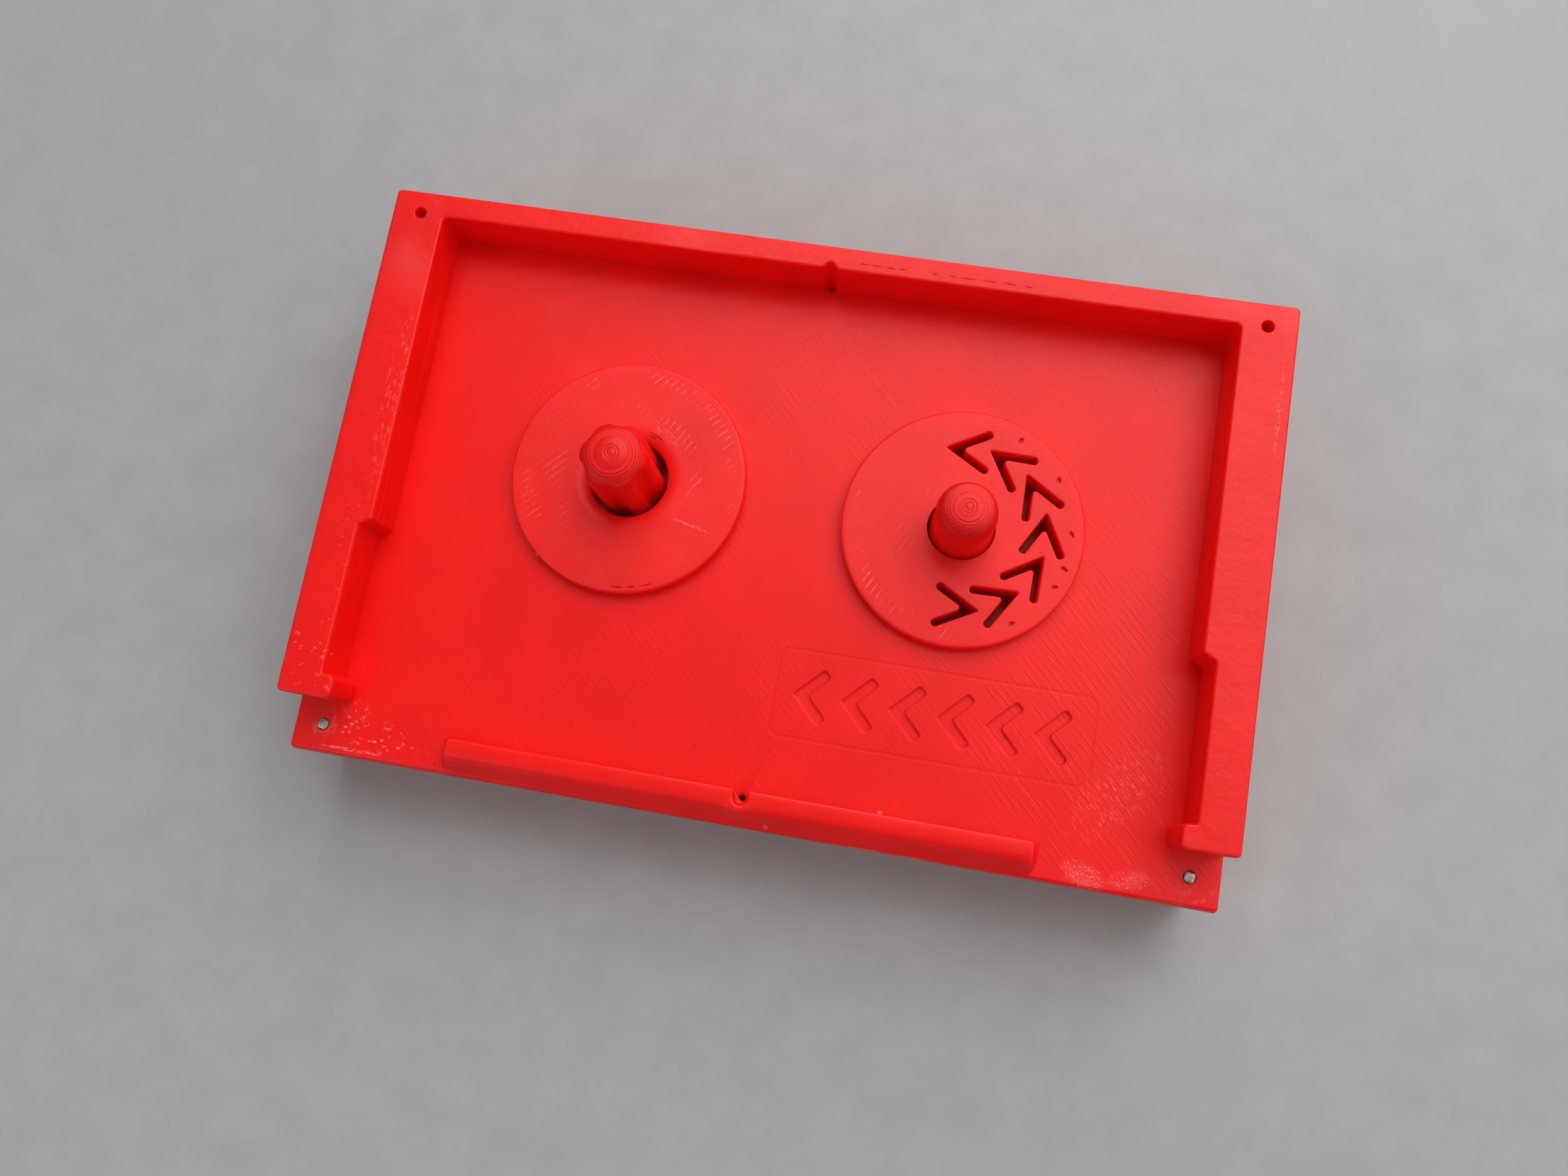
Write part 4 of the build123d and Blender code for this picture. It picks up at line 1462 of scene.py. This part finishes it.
    def bead(self) -> Skin:
        """Small squeezed-out bead on the left boss's rim, a lumpy ball pressed half into it.

        Returns:
            The closed skin.
        """
        skin = Skin()
        reach, angle = self.bead_place
        x, y = polar(self.wind_x, self.axis_y, reach, math.radians(angle))
        lumps, count = 3, 16
        lift = np.linspace(-1.35, 1.35, 9)
        wide = np.cos(lift)[:, None]
        radii = self.bead_radius * wide * (1 + 0.14 * np.sin(lumps * ring_angles(count)) * wide)
        skin.lathe(x, y, list(zip(radii, 17.55 + self.bead_rise * np.sin(lift))), count)
        return skin

    def build(self) -> None:
        """Builds and dresses the tray with its strand and bead."""
        tray = self.plate().piece("tray_body")
        raised = Skin()
        self.add_walls(raised)
        self.add_bosses(raised)
        self.add_rail(raised)
        upper = raised.piece("tray_raised")
        combine(upper, self.mouth().piece("rail_mouth"), Join.DIFFERENCE)
        weld(upper)
        weld(tray)
        combine(tray, upper, Join.UNION)
        weld(tray)
        combine(tray, self.seams().piece("tray_seams"), Join.DIFFERENCE)
        dress(tray, self.finish().material(), Body.CASE, Slot.TRAY, "tray")
        stray = PrintedPlastic("stray_red", colour=(0.88, 0.06, 0.06), raster_depth=0.004)
        loose = stray.material()
        dress(self.strand().piece("tray_stray_strand"), loose, Body.CASE, Slot.TRAY)
        dress(self.bead().piece("tray_rim_bead"), loose, Body.CASE, Slot.TRAY)


# ---------------------------------------------------------------- gear case and gears


@dataclass
class GearCase(Layout):
    """Lower half, carried over from the CAD solid with a softened seam edge."""

    seam: float = 13.0
    seam_bevel: float = 0.22
    rim: Pair = (56.5, 35.6)
    recess_edge: float = 23.0
    gear_edges: Pair = (25.0, 13.0)

    def build(self, nodes: dict[str, bpy.types.Object]) -> None:
        """Builds and dresses the case and the two gears inside it.

        Args:
            nodes: the frame's CAD nodes.
        """
        case = joined_copy(nodes["gear_case"], "gear_case_body")
        mesh = case.data
        points = np.zeros(len(mesh.vertices) * 3, np.float32)
        mesh.vertices.foreach_get("co", points)
        edges = np.zeros(len(mesh.edges) * 2, np.int32)
        mesh.edges.foreach_get("vertices", edges)
        x, y, z = np.moveaxis(points.reshape(-1, 3)[edges.reshape(-1, 2)] / MM, 2, 0)
        outer = (np.abs(x) > self.rim[0]) | (np.abs(y) > self.rim[1])
        chosen = (outer & (np.abs(z - self.seam) < 0.01)).all(axis=1)
        weight = mesh.attributes.new("bevel_weight_edge", "FLOAT", "EDGE")
        weight.data.foreach_set("value", chosen.astype(np.float32))
        smooth(mesh)
        bevel = case.modifiers.new("seam", "BEVEL")
        bevel.limit_method = "WEIGHT"
        bevel.width = self.seam_bevel * MM
        bevel.segments = 3
        bevel.use_clamp_overlap = False
        shading = case.modifiers.new("shading", "WEIGHTED_NORMAL")
        shading.mode = "FACE_AREA"
        shading.weight = 100
        shading.keep_sharp = True
        wind, drive = (self.wind_x, self.axis_y), (self.drive_x, self.axis_y)
        front = Patch((0, -36.3, 1), (57, 1, 1.5), (1.5, 1, 0.3), 0, 0.56, 0.7, 0.4)
        plastic = PrintedPlastic(
            "case_red", centres=((*drive, self.recess_edge),), patches=(front,)
        )
        dress(case, plastic.material(), Body.CASE, Slot.CASE, "gear_case")
        large, small = self.gear_edges
        gears = PrintedPlastic("gear_red", centres=((*drive, large), (*wind, small)))
        finish = gears.material()
        for name in ("drive_gear", "pinion_gear"):
            nodes[name].data.materials.clear()
            nodes[name].data.materials.append(finish)
            LOG.info("%s: carried over with its CAD mesh", name)


# ---------------------------------------------------------------- spindles


@dataclass
class Spindles(Layout):
    """The lobed winding spindle and the plain drive post, both printed in stepped layers."""

    gear_bottom: float = 9.6
    gear_top: float = 12.6
    dome_start: float = 25.0
    top: float = 28.6
    layer: float = 0.2
    tip_flat: float = 1.2
    lobe_count: int = 6
    lobe_reach: float = 4.6
    lobe_radius: float = 1.3
    core_radius: float = 3.75
    key_width: float = 5.0
    journal_radius: float = 2.4
    journal_bottom: float = 2.7
    post_radius: float = 3.7
    foot_radius: float = 3.95
    foot_top: float = 17.9
    bore_radius: float = 1.52
    bore_top: float = 17.4
    points: int = 144

    def key(self) -> Array:
        """Radius of the square key by angle, its corners slightly blunted.

        Returns:
            One radius per point of a ring.
        """
        half = self.key_width / 2
        blunt = np.full(self.points, half * math.sqrt(2) * 0.985)
        return smooth_min(square(half, ring_angles(self.points)), blunt, 0.04)

    def lobes(self) -> Array:
        """Radius of the lobed section by angle.

        A ray at angle p from a lobe's own line leaves its circle at
        d cos p + sqrt(r^2 - d^2 sin^2 p), where d is the circle's distance from the axis; the
        core's radius is blended in as the least.

        Returns:
            One radius per point of a ring.
        """
        step = FULL_TURN / self.lobe_count
        p = (ring_angles(self.points) + step / 2) % step - step / 2
        d = self.lobe_reach - self.lobe_radius
        chord = np.sqrt(np.maximum(self.lobe_radius**2 - (d * np.sin(p)) ** 2, 0))
        return smooth_max(d * np.cos(p) + chord, np.full_like(p, self.core_radius), 0.25) - 0.03

    def dome(self, radius: float) -> list[Pair]:
        """Dome outline, the quarter ellipse r = t + (R - t) sqrt(1 - h^2) printed in layers.

        Near the tip each layer is a full step; further down it fades to a faint groove.  The last
        layer's flat tip bears two raised bead lines round its middle.

        Args:
            radius: widest radius of the dome.

        Returns:
            Rows of radius and height from the dome's foot to its tip.
        """
        height, wider = self.top - self.dome_start, radius - self.tip_flat
        z = self.dome_start + self.layer * np.arange(round(height / self.layer))
        middle = (z + self.layer / 2 - self.dome_start) / height
        reach = self.tip_flat + wider * np.sqrt(1 - middle**2)
        heights = np.stack([z + 0.01, z + 0.05, z + 0.14, z + 0.19], axis=1)
        share = (heights - self.dome_start) / height
        even = self.tip_flat + wider * np.sqrt(np.clip(1 - share**2, 0, 1))
        even -= [0.012, 0.0, 0.0, 0.012]
        stepped = reach[:, None] - [0.025, 0.0, 0.0, 0.035]
        blend = 0.1 + 0.9 * smooth_step(reach, 2.3, 3.7)[:, None]
        radii = blend * even + (1 - blend) * stepped
        rows = list(zip(radii.ravel(), np.minimum(heights.ravel(), self.top - 0.02)))
        beads = (1.08, 0.02), (1.0, 0.0), (0.9, 0.05), (0.78, 0.06), (0.66, 0.0)
        beads += (0.56, 0.0), (0.44, 0.07), (0.32, 0.02), (0.2, 0.0)
        return [*rows, *((r, self.top - drop) for r, drop in beads)]

    def winding(self) -> Skin:
        """Winding spindle from its journal up through the square key and the lobes to the dome.

        Returns:
            The closed skin.
        """
        skin = Skin()
        low, r = self.journal_bottom, self.journal_radius
        seat, top = self.gear_bottom, self.gear_top
        rows = [(r - 0.3, low), (r, low + 0.3), (r, seat), (self.key(), seat), (self.key(), top)]
        rows += [(self.lobes() - 0.15, top)]
        reach = self.lobe_reach
        for limit, z in ((reach, top + 0.15), (reach, self.dome_start - 0.1), *self.dome(reach)):
            upper = smooth_min(self.lobes(), limit, 0.35) + 0.06
            rows.append((np.minimum(upper, reach), z))
        skin.lathe(self.wind_x, self.axis_y, rows, self.points)
        return skin

    def post(self) -> Skin:
        """Drive post, bored from below for the dial screw, with a foot under the boss's top.

        Returns:
            The closed skin.
        """
        skin = Skin()
        bore, foot, post = self.bore_radius, self.foot_radius, self.post_radius
        seat, top, sill = self.gear_bottom, self.gear_top, self.foot_top
        rows = [(bore, self.bore_top), (bore, seat), (self.key(), seat), (self.key(), top)]
        rows += [(foot - 0.1, top), (foot, top + 0.1), (foot, sill - 0.12), (foot - 0.05, sill)]
        rows += [(post + 0.12, sill + 0.12), (post + 0.04, sill + 0.3), (post, sill + 0.55)]
        rows += [(post, self.dome_start - 0.1), *self.dome(post)]
        skin.lathe(self.drive_x, self.axis_y, rows, self.points)
        return skin

    def build(self) -> None:
        """Builds and dresses both spindles."""
        finish = PrintedPlastic(
            "spindle_red",
            colour=(0.82, 0.004, 0.003),
            # The dark colour below is the painted shade in the dome's layer grooves
            blotch_and_groove_shade=(0.42, 0.003, 0.004),
            contour=0.7,
            raster_depth=0.006,
            centres=((self.wind_x, self.axis_y, 5.0), (self.drive_x, self.axis_y, 5.0)),
        ).material()
        winding = self.winding().piece("winding_spindle_body")
        dress(winding, finish, Body.WINDER, Slot.SPINDLE, "winding_spindle")
        dress(self.post().piece("drive_post_body"), finish, Body.DRIVE, Slot.SPINDLE, "drive_post")


# ---------------------------------------------------------------- crank


@dataclass
class Crank(Layout):
    """Dial with its tenon, the knob on its pin, and the screw that holds the dial to the post."""

    dial_radius: float = 19.2
    dial_bottom: float = 4.9
    dial_top: float = 7.3
    tenon_width: float = 8.0
    tenon_top: float = 9.5
    grip_count: int = 40
    grip_depth: float = 0.35
    groove: Pair = (12.4, 13.6)
    groove_depth: float = 0.35
    screw_bore: float = 1.52
    screw_head: float = 2.9
    screw_head_height: float = 1.6
    screw_drive: float = 1.7
    screw_drive_depth: float = 1.0
    screw_radius: float = 1.5
    screw_end: float = 16.9
    thread_pitch: float = 0.9
    thread_depth: float = 0.22
    knob_y: float = 17.3
    knob_radius: float = 4.5
    knob_bottom: float = 0.8
    knob_top: float = 4.8
    knob_bore: float = 1.08
    knob_sink: float = 2.2
    knob_sink_top: float = 1.8
    rib_count: int = 18
    rib_depth: float = 0.22
    pin_head: float = 2.0
    pin_bottom: float = 1.0
    pin_head_top: float = 1.7
    pin_radius: float = 1.0
    pin_top: float = 7.2

    def dial(self) -> Skin:
        """Dial: a closed ring of sections, scalloped at the rim, with a sunk ring on its face.

        The rim's radius is r - g (1 + cos(n a)) / 2, with n grips of depth g.

        Returns:
            The closed skin.
        """
        skin = Skin()
        count = self.grip_count * 12
        a = ring_angles(count)
        scallop = self.grip_depth * (1 + np.cos(self.grip_count * a)) / 2
        tenon = square(self.tenon_width / 2, a)
        low, top, r = self.dial_bottom, self.dial_top, self.dial_radius
        near, far = self.groove
        floor = low + self.groove_depth
        rows = [(self.screw_bore, self.tenon_top), (self.screw_bore, low + self.screw_head_height)]
        rows += [(self.screw_head + 0.02, low + 0.02), (self.screw_head + 0.2, low)]
        rows += [(near - 0.2, low), (near, low + 0.05), (near + 0.2, floor), (far - 0.2, floor)]
        rows += [(far, low + 0.05), (far + 0.2, low), (r - 1.1, low)]
        rim = [(r - 0.75, low + 0.05, 0.3), (r - 0.3, low + 0.4, 0.8), (r - 0.06, low + 0.8, 1)]
        rim += [(r, low + 1.1, 1), (r, top - 0.5, 1), (r - 0.08, top - 0.2, 1), (r - 0.3, top, 0.8)]
        rows += [(reach - share * scallop, z) for reach, z, share in rim]
        rows += [(tenon, top), (tenon, self.tenon_top - 0.15), (tenon - 0.15, self.tenon_top)]
        skin.lathe(self.drive_x, self.axis_y, rows, count, hollow=True)
        return skin

    def knob(self) -> Skin:
        """Knob: a closed ring of sections, waisted, with upright finger ribs round it.

        Returns:
            The closed skin.
        """
        skin = Skin()
        count = self.rib_count * 12
        rib = self.rib_depth * (1 + np.cos(self.rib_count * ring_angles(count))) / 2
        low, top, r = self.knob_bottom, self.knob_top, self.knob_radius
        bore, sink, sill = self.knob_bore, self.knob_sink, self.knob_sink_top
        rows = [(bore, top - 0.1, 0), (bore, sill, 0), (sink, sill, 0), (sink, low + 0.1, 0)]
        rows += [(sink + 0.1, low, 0), (r - 0.8, low, 0), (r - 0.5, low + 0.08, 0.2)]
        rows += [(r - 0.2, low + 0.35, 0.6), (r - 0.05, low + 0.7, 1), (r - 0.22, low + 1.4, 1)]
        rows += [(r - 0.38, low + 2.1, 1), (r - 0.30, low + 2.8, 1), (r - 0.04, top - 0.6, 1)]
        rows += [(r, top - 0.35, 0.6), (r - 0.1, top - 0.1, 0.2), (r - 0.3, top, 0)]
        rows += [(bore + 0.15, top, 0)]
        rings = [(reach - share * rib, z) for reach, z, share in rows]
        skin.lathe(self.drive_x, self.knob_y, rings, count, hollow=True)
        return skin

    def screw(self) -> Skin:
        """Screw: six-sided socket, countersunk head and a thread.

        The thread's radius is the core plus its depth times a triangle wave of
        (z / pitch - a / turn).

        Returns:
            The closed skin.
        """
        skin = Skin()
        count = 96
        a = ring_angles(count)
        sixth = (a % (FULL_TURN / 6)) - FULL_TURN / 12
        socket = self.screw_drive * math.cos(math.pi / 6) / np.cos(sixth)
        low, head, r = self.dial_bottom, self.screw_head, self.screw_radius
        deep = low + self.screw_drive_depth
        rows = [(0.2, deep), (socket - 0.05, deep), (socket, deep - 0.1), (socket, low + 0.08)]
        rows += [(socket + 0.1, low), (head - 0.12, low), (head, low + 0.1)]
        z = np.linspace(low + self.screw_head_height, self.screw_end - 0.8, 110)
        phase = (z[:, None] / self.thread_pitch - a[None] / FULL_TURN) % 1
        thread = r - self.thread_depth * np.abs(2 * phase - 1)
        rows += [*zip(thread, z), (r - 0.3, self.screw_end - 0.6), (0.5, self.screw_end)]
        skin.lathe(self.drive_x, self.axis_y, rows, count)
        return skin

    def pin(self) -> Skin:
        """Knob pin: low domed head with a rounded rim, and a plain shank pressed into the dial.

        Returns:
            The closed skin.
        """
        skin = Skin()
        r, low, top, shank = self.pin_head, self.pin_bottom, self.pin_head_top, self.pin_radius
        rows = [(0.5, low), (1.2, low + 0.02), (1.7, low + 0.08), (r - 0.08, low + 0.22)]
        rows += [(r, low + 0.4), (r, top - 0.1), (r - 0.1, top), (shank, top)]
        rows += [(shank, self.pin_top - 0.2), (shank - 0.2, self.pin_top)]
        skin.lathe(self.drive_x, self.knob_y, rows, 64)
        return skin

    def build(self) -> None:
        """Builds and dresses the crank's four pieces."""
        rim = (self.drive_x, self.axis_y, self.dial_radius)
        red = PrintedPlastic("dial_red", centres=(rim,)).material()
        steel = DrawnSteel("fixing_bright").material()
        for name, skin, finish, body, slot in (
            ("crank_dial", self.dial(), red, Body.DRIVE, Slot.DIAL),
            ("crank_knob", self.knob(), red, Body.KNOB, Slot.DIAL),
            ("dial_screw", self.screw(), steel, Body.DRIVE, Slot.FIXING),
            ("knob_pin", self.pin(), steel, Body.DRIVE, Slot.FIXING),
        ):
            dress(skin.piece(f"{name}_body"), finish, body, slot, name)


# ---------------------------------------------------------------- nails


@dataclass
class Nails(Layout):
    """Four nails from below; the front two show their snipped tips above the floor."""

    head_radius: float = 1.5
    head_bottom: float = 0.25
    head_top: float = 0.95
    radius: float = 0.7
    groove: float = 0.06
    tip: float = 16.35
    snip_rise: float = 0.22
    snip_squeeze: float = 0.10
    points: int = 48

    def nail(self, x: float, y: float, cut: TipCut) -> Skin:
        """One nail: head, ringed neck, shank and tip.

        A snipped tip is squeezed by a share s towards a square, r (1 - s (1 + cos 4a) / 2), and
        its end is a low ridge across the shank, as cutting pliers leave it.

        Args:
            x: the nail's X.
            y: the nail's Y.
            cut: how its tip was left.

        Returns:
            The nail's closed skin.
        """
        skin = Skin()
        a = ring_angles(self.points)
        low, top, wide = self.head_bottom, self.head_top, self.head_radius
        r, tip = self.radius, self.tip
        rows = [(0.6, low), (wide - 0.15, low), (wide, low + 0.15), (wide, top - 0.1)]
        rows += [(wide - 0.1, top), (r, top)]
        neck, lifts = r - self.groove, (0.0, 0.1, 0.2, 0.3)
        for level in np.arange(1.4, 3.6, 0.5):
            rows += [(reach, level + lift) for reach, lift in zip((r, neck, neck, r), lifts)]
        rows += [(r, tip - 0.9)]
        if cut is TipCut.SNIPPED:
            squeeze = 1 - self.snip_squeeze * (1 + np.cos(4 * a + 0.9)) / 2
            ridge = np.abs(np.sin(a - 0.5))
            ends = ((1.0, -0.5, 0.0), (0.97, -0.1, 0.08), (0.78, 0.0, 0.02), (0.3, 0.0, 0.0))
            for share, level, drop in ends:
                rows += [(r * share * squeeze, tip + self.snip_rise * level - drop * ridge)]
        else:
            rows += [(r, tip - 0.12), (r - 0.12, tip)]
        skin.lathe(x, y, rows, self.points)
        return skin

    def build(self) -> None:
        """Builds and dresses the four nails."""
        shade, dull = (0.36, 0.32, 0.27), (0.13, 0.11, 0.10)
        steel = DrawnSteel("nail_bright", shade, dull, 0.40, 0.75).material()
        back, front = (self.nail_back_y, TipCut.PLAIN), (self.nail_front_y, TipCut.SNIPPED)
        for row, (y, cut) in (("back", back), ("front", front)):
            for side, x in (("left", -self.nail_x), ("right", self.nail_x)):
                name = f"nail_{row}_{side}"
                dress(self.nail(x, y, cut).piece(f"{name}_body"), steel, Body.CASE, Slot.NAIL, name)


# ---------------------------------------------------------------- studio


def seen(tree: bpy.types.NodeTree) -> Socket:
    """Greatest of Is Camera Ray, Is Glossy Ray and Is Transmission Ray, in a node tree.

    Args:
        tree: the material's or the world's tree.

    Returns:
        The socket that carries it.
    """
    rays = tree.nodes.new("ShaderNodeLightPath").outputs
    found = rays["Is Camera Ray"]
    for name in ("Is Glossy Ray", "Is Transmission Ray"):
        most = tree.nodes.new("ShaderNodeMath")
        most.operation = "MAXIMUM"
        tree.links.new(found, most.inputs[0])
        tree.links.new(rays[name], most.inputs[1])
        found = most.outputs[0]
    return found


@dataclass
class Studio:
    """Pale floor, soft lights and the camera at the photograph's viewing angle.

    A lamp has a place and a size in metres, and a power in watts.
    """

    image_width: int = 2212
    focal_pixels: float = 1739.5634
    sensor: float = 36.0
    camera_place: Point = (15.49, -32.409, 167.144)
    right: Point = (0.982789, 0.172152, -0.066996)
    down: Point = (0.157519, -0.97043, -0.182905)
    ahead: Point = (-0.096502, 0.169204, -0.980845)
    floor_colour: Colour = (0.36, 0.36, 0.355)
    floor_half: float = 3.0
    floor_roughness: float = 0.55
    lamps: dict[str, tuple[Point, float, float]] = field(
        default_factory=lambda: {
            "key": ((0.20, 0.55, 0.68), 0.95, 9.4),
            "fill": ((0.62, -0.12, 0.60), 0.70, 2.0),
            "left": ((-0.52, -0.42, 0.50), 0.60, 1.5),
        }
    )
    world_tint: Colour = (0.94, 0.96, 1.0)
    ambient: float = 0.11
    backdrop: float = 0.42
    fade: Pair = (350.0, 1000.0)

    def camera(self) -> None:
        """Sets the camera up from the pinhole fit of the photograph."""
        data = bpy.data.cameras.new("camera")
        data.sensor_width = self.sensor
        data.lens = self.focal_pixels / self.image_width * self.sensor
        data.clip_start, data.clip_end = 0.005, 20.0
        made = placed("camera", data)
        place = np.array(self.camera_place) * MM
        columns = [self.right, np.negative(self.down), np.negative(self.ahead), place]
        made.matrix_world = Matrix(np.vstack([np.column_stack(columns), [0, 0, 0, 1]]))
        bpy.context.scene.camera = made

    def floor(self) -> None:
        """Lays the pale table, with a faint mottle; far off it shows the backdrop's plain tone."""
        side = np.linspace(-self.floor_half, self.floor_half, 5)
        x, y = np.meshgrid(side, side, indexing="ij")
        points = np.stack([x, y, np.zeros_like(x)], axis=2).reshape(-1, 3)
        n = np.arange(25).reshape(5, 5)
        faces = np.stack([n[:-1, :-1], n[1:, :-1], n[1:, 1:], n[:-1, 1:]], axis=2)
        mesh = bpy.data.meshes.new("table")
        mesh.from_pydata(points.tolist(), [], faces.reshape(-1, 4).tolist())
        bench = Bench("table_pale")
        mottle = bench.ramp(bench.noise((7.0, 7.0, 7.0), 0.0, 4.0, 0.6), 0.3, 0.7)
        specks = bench.ramp(bench.noise((0.5, 0.5, 0.5), 0.0, 1.0), 0.74, 0.80, 0.35)
        darker, speck = (tuple(share * c for c in self.floor_colour) for share in (0.93, 0.6))
        colour = bench.mix(specks, bench.mix(mottle, darker, self.floor_colour), speck)
        bench.shade(Base_Color=colour, Roughness=self.floor_roughness)
        plain = bench.node("ShaderNodeEmission")
        bench.feed(plain.inputs["Color"], (*(self.backdrop * c for c in self.world_tint), 1.0))
        far = bench.ramp(bench.distance(0, 0), *self.fade) * seen(bench.tree)
        blend = bench.node("ShaderNodeMixShader")
        shaders = (bench.shader.outputs["BSDF"], plain.outputs["Emission"])
        for socket, value in zip(blend.inputs, (far, *shaders)):
            bench.feed(socket, value)
        bench.feed(bench.surface, blend.outputs["Shader"])
        mesh.materials.append(bench.material)
        made = placed("table", mesh)

    def lights(self) -> None:
        """Hangs the soft lamps, all aimed at the part, and sets a low even world light.

        What the camera and mirrors see of the world is the backdrop's tone, not the light's level.
        """
        for name, (place, size, power) in self.lamps.items():
            data = bpy.data.lights.new(name, "AREA")
            data.shape = "SQUARE"
            data.size = size
            data.energy = power
            made = placed(name, data)
            made.location = place
            made.rotation_mode = "QUATERNION"
            made.rotation_quaternion = (-Vector(place)).to_track_quat("-Z", "Y")
        world = bpy.data.worlds.new("studio")
        world.use_nodes = True
        tree = world.node_tree
        sky = tree.nodes["Background"]
        sky.inputs["Color"].default_value = (*self.world_tint, 1.0)
        level = tree.nodes.new("ShaderNodeMath")
        level.operation = "MULTIPLY_ADD"
        tree.links.new(seen(tree), level.inputs[0])
        level.inputs[1].default_value = self.backdrop - self.ambient
        level.inputs[2].default_value = self.ambient
        tree.links.new(level.outputs[0], sky.inputs["Strength"])
        bpy.context.scene.world = world

    def build(self) -> None:
        """Sets up camera, floor, lights and the plain colour transform."""
        self.camera()
        self.floor()
        self.lights()
        bpy.context.scene.view_settings.view_transform = "Standard"


def main() -> None:
    """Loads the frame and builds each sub-assembly in order."""
    logging.basicConfig(level=logging.INFO, format="%(name)s: %(message)s")
    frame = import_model()
    Studio().build()
    Tray().build()
    GearCase().build(frame["nodes"])
    Spindles().build()
    Crank().build()
    Nails().build()


if __name__ == "__main__":
    main()
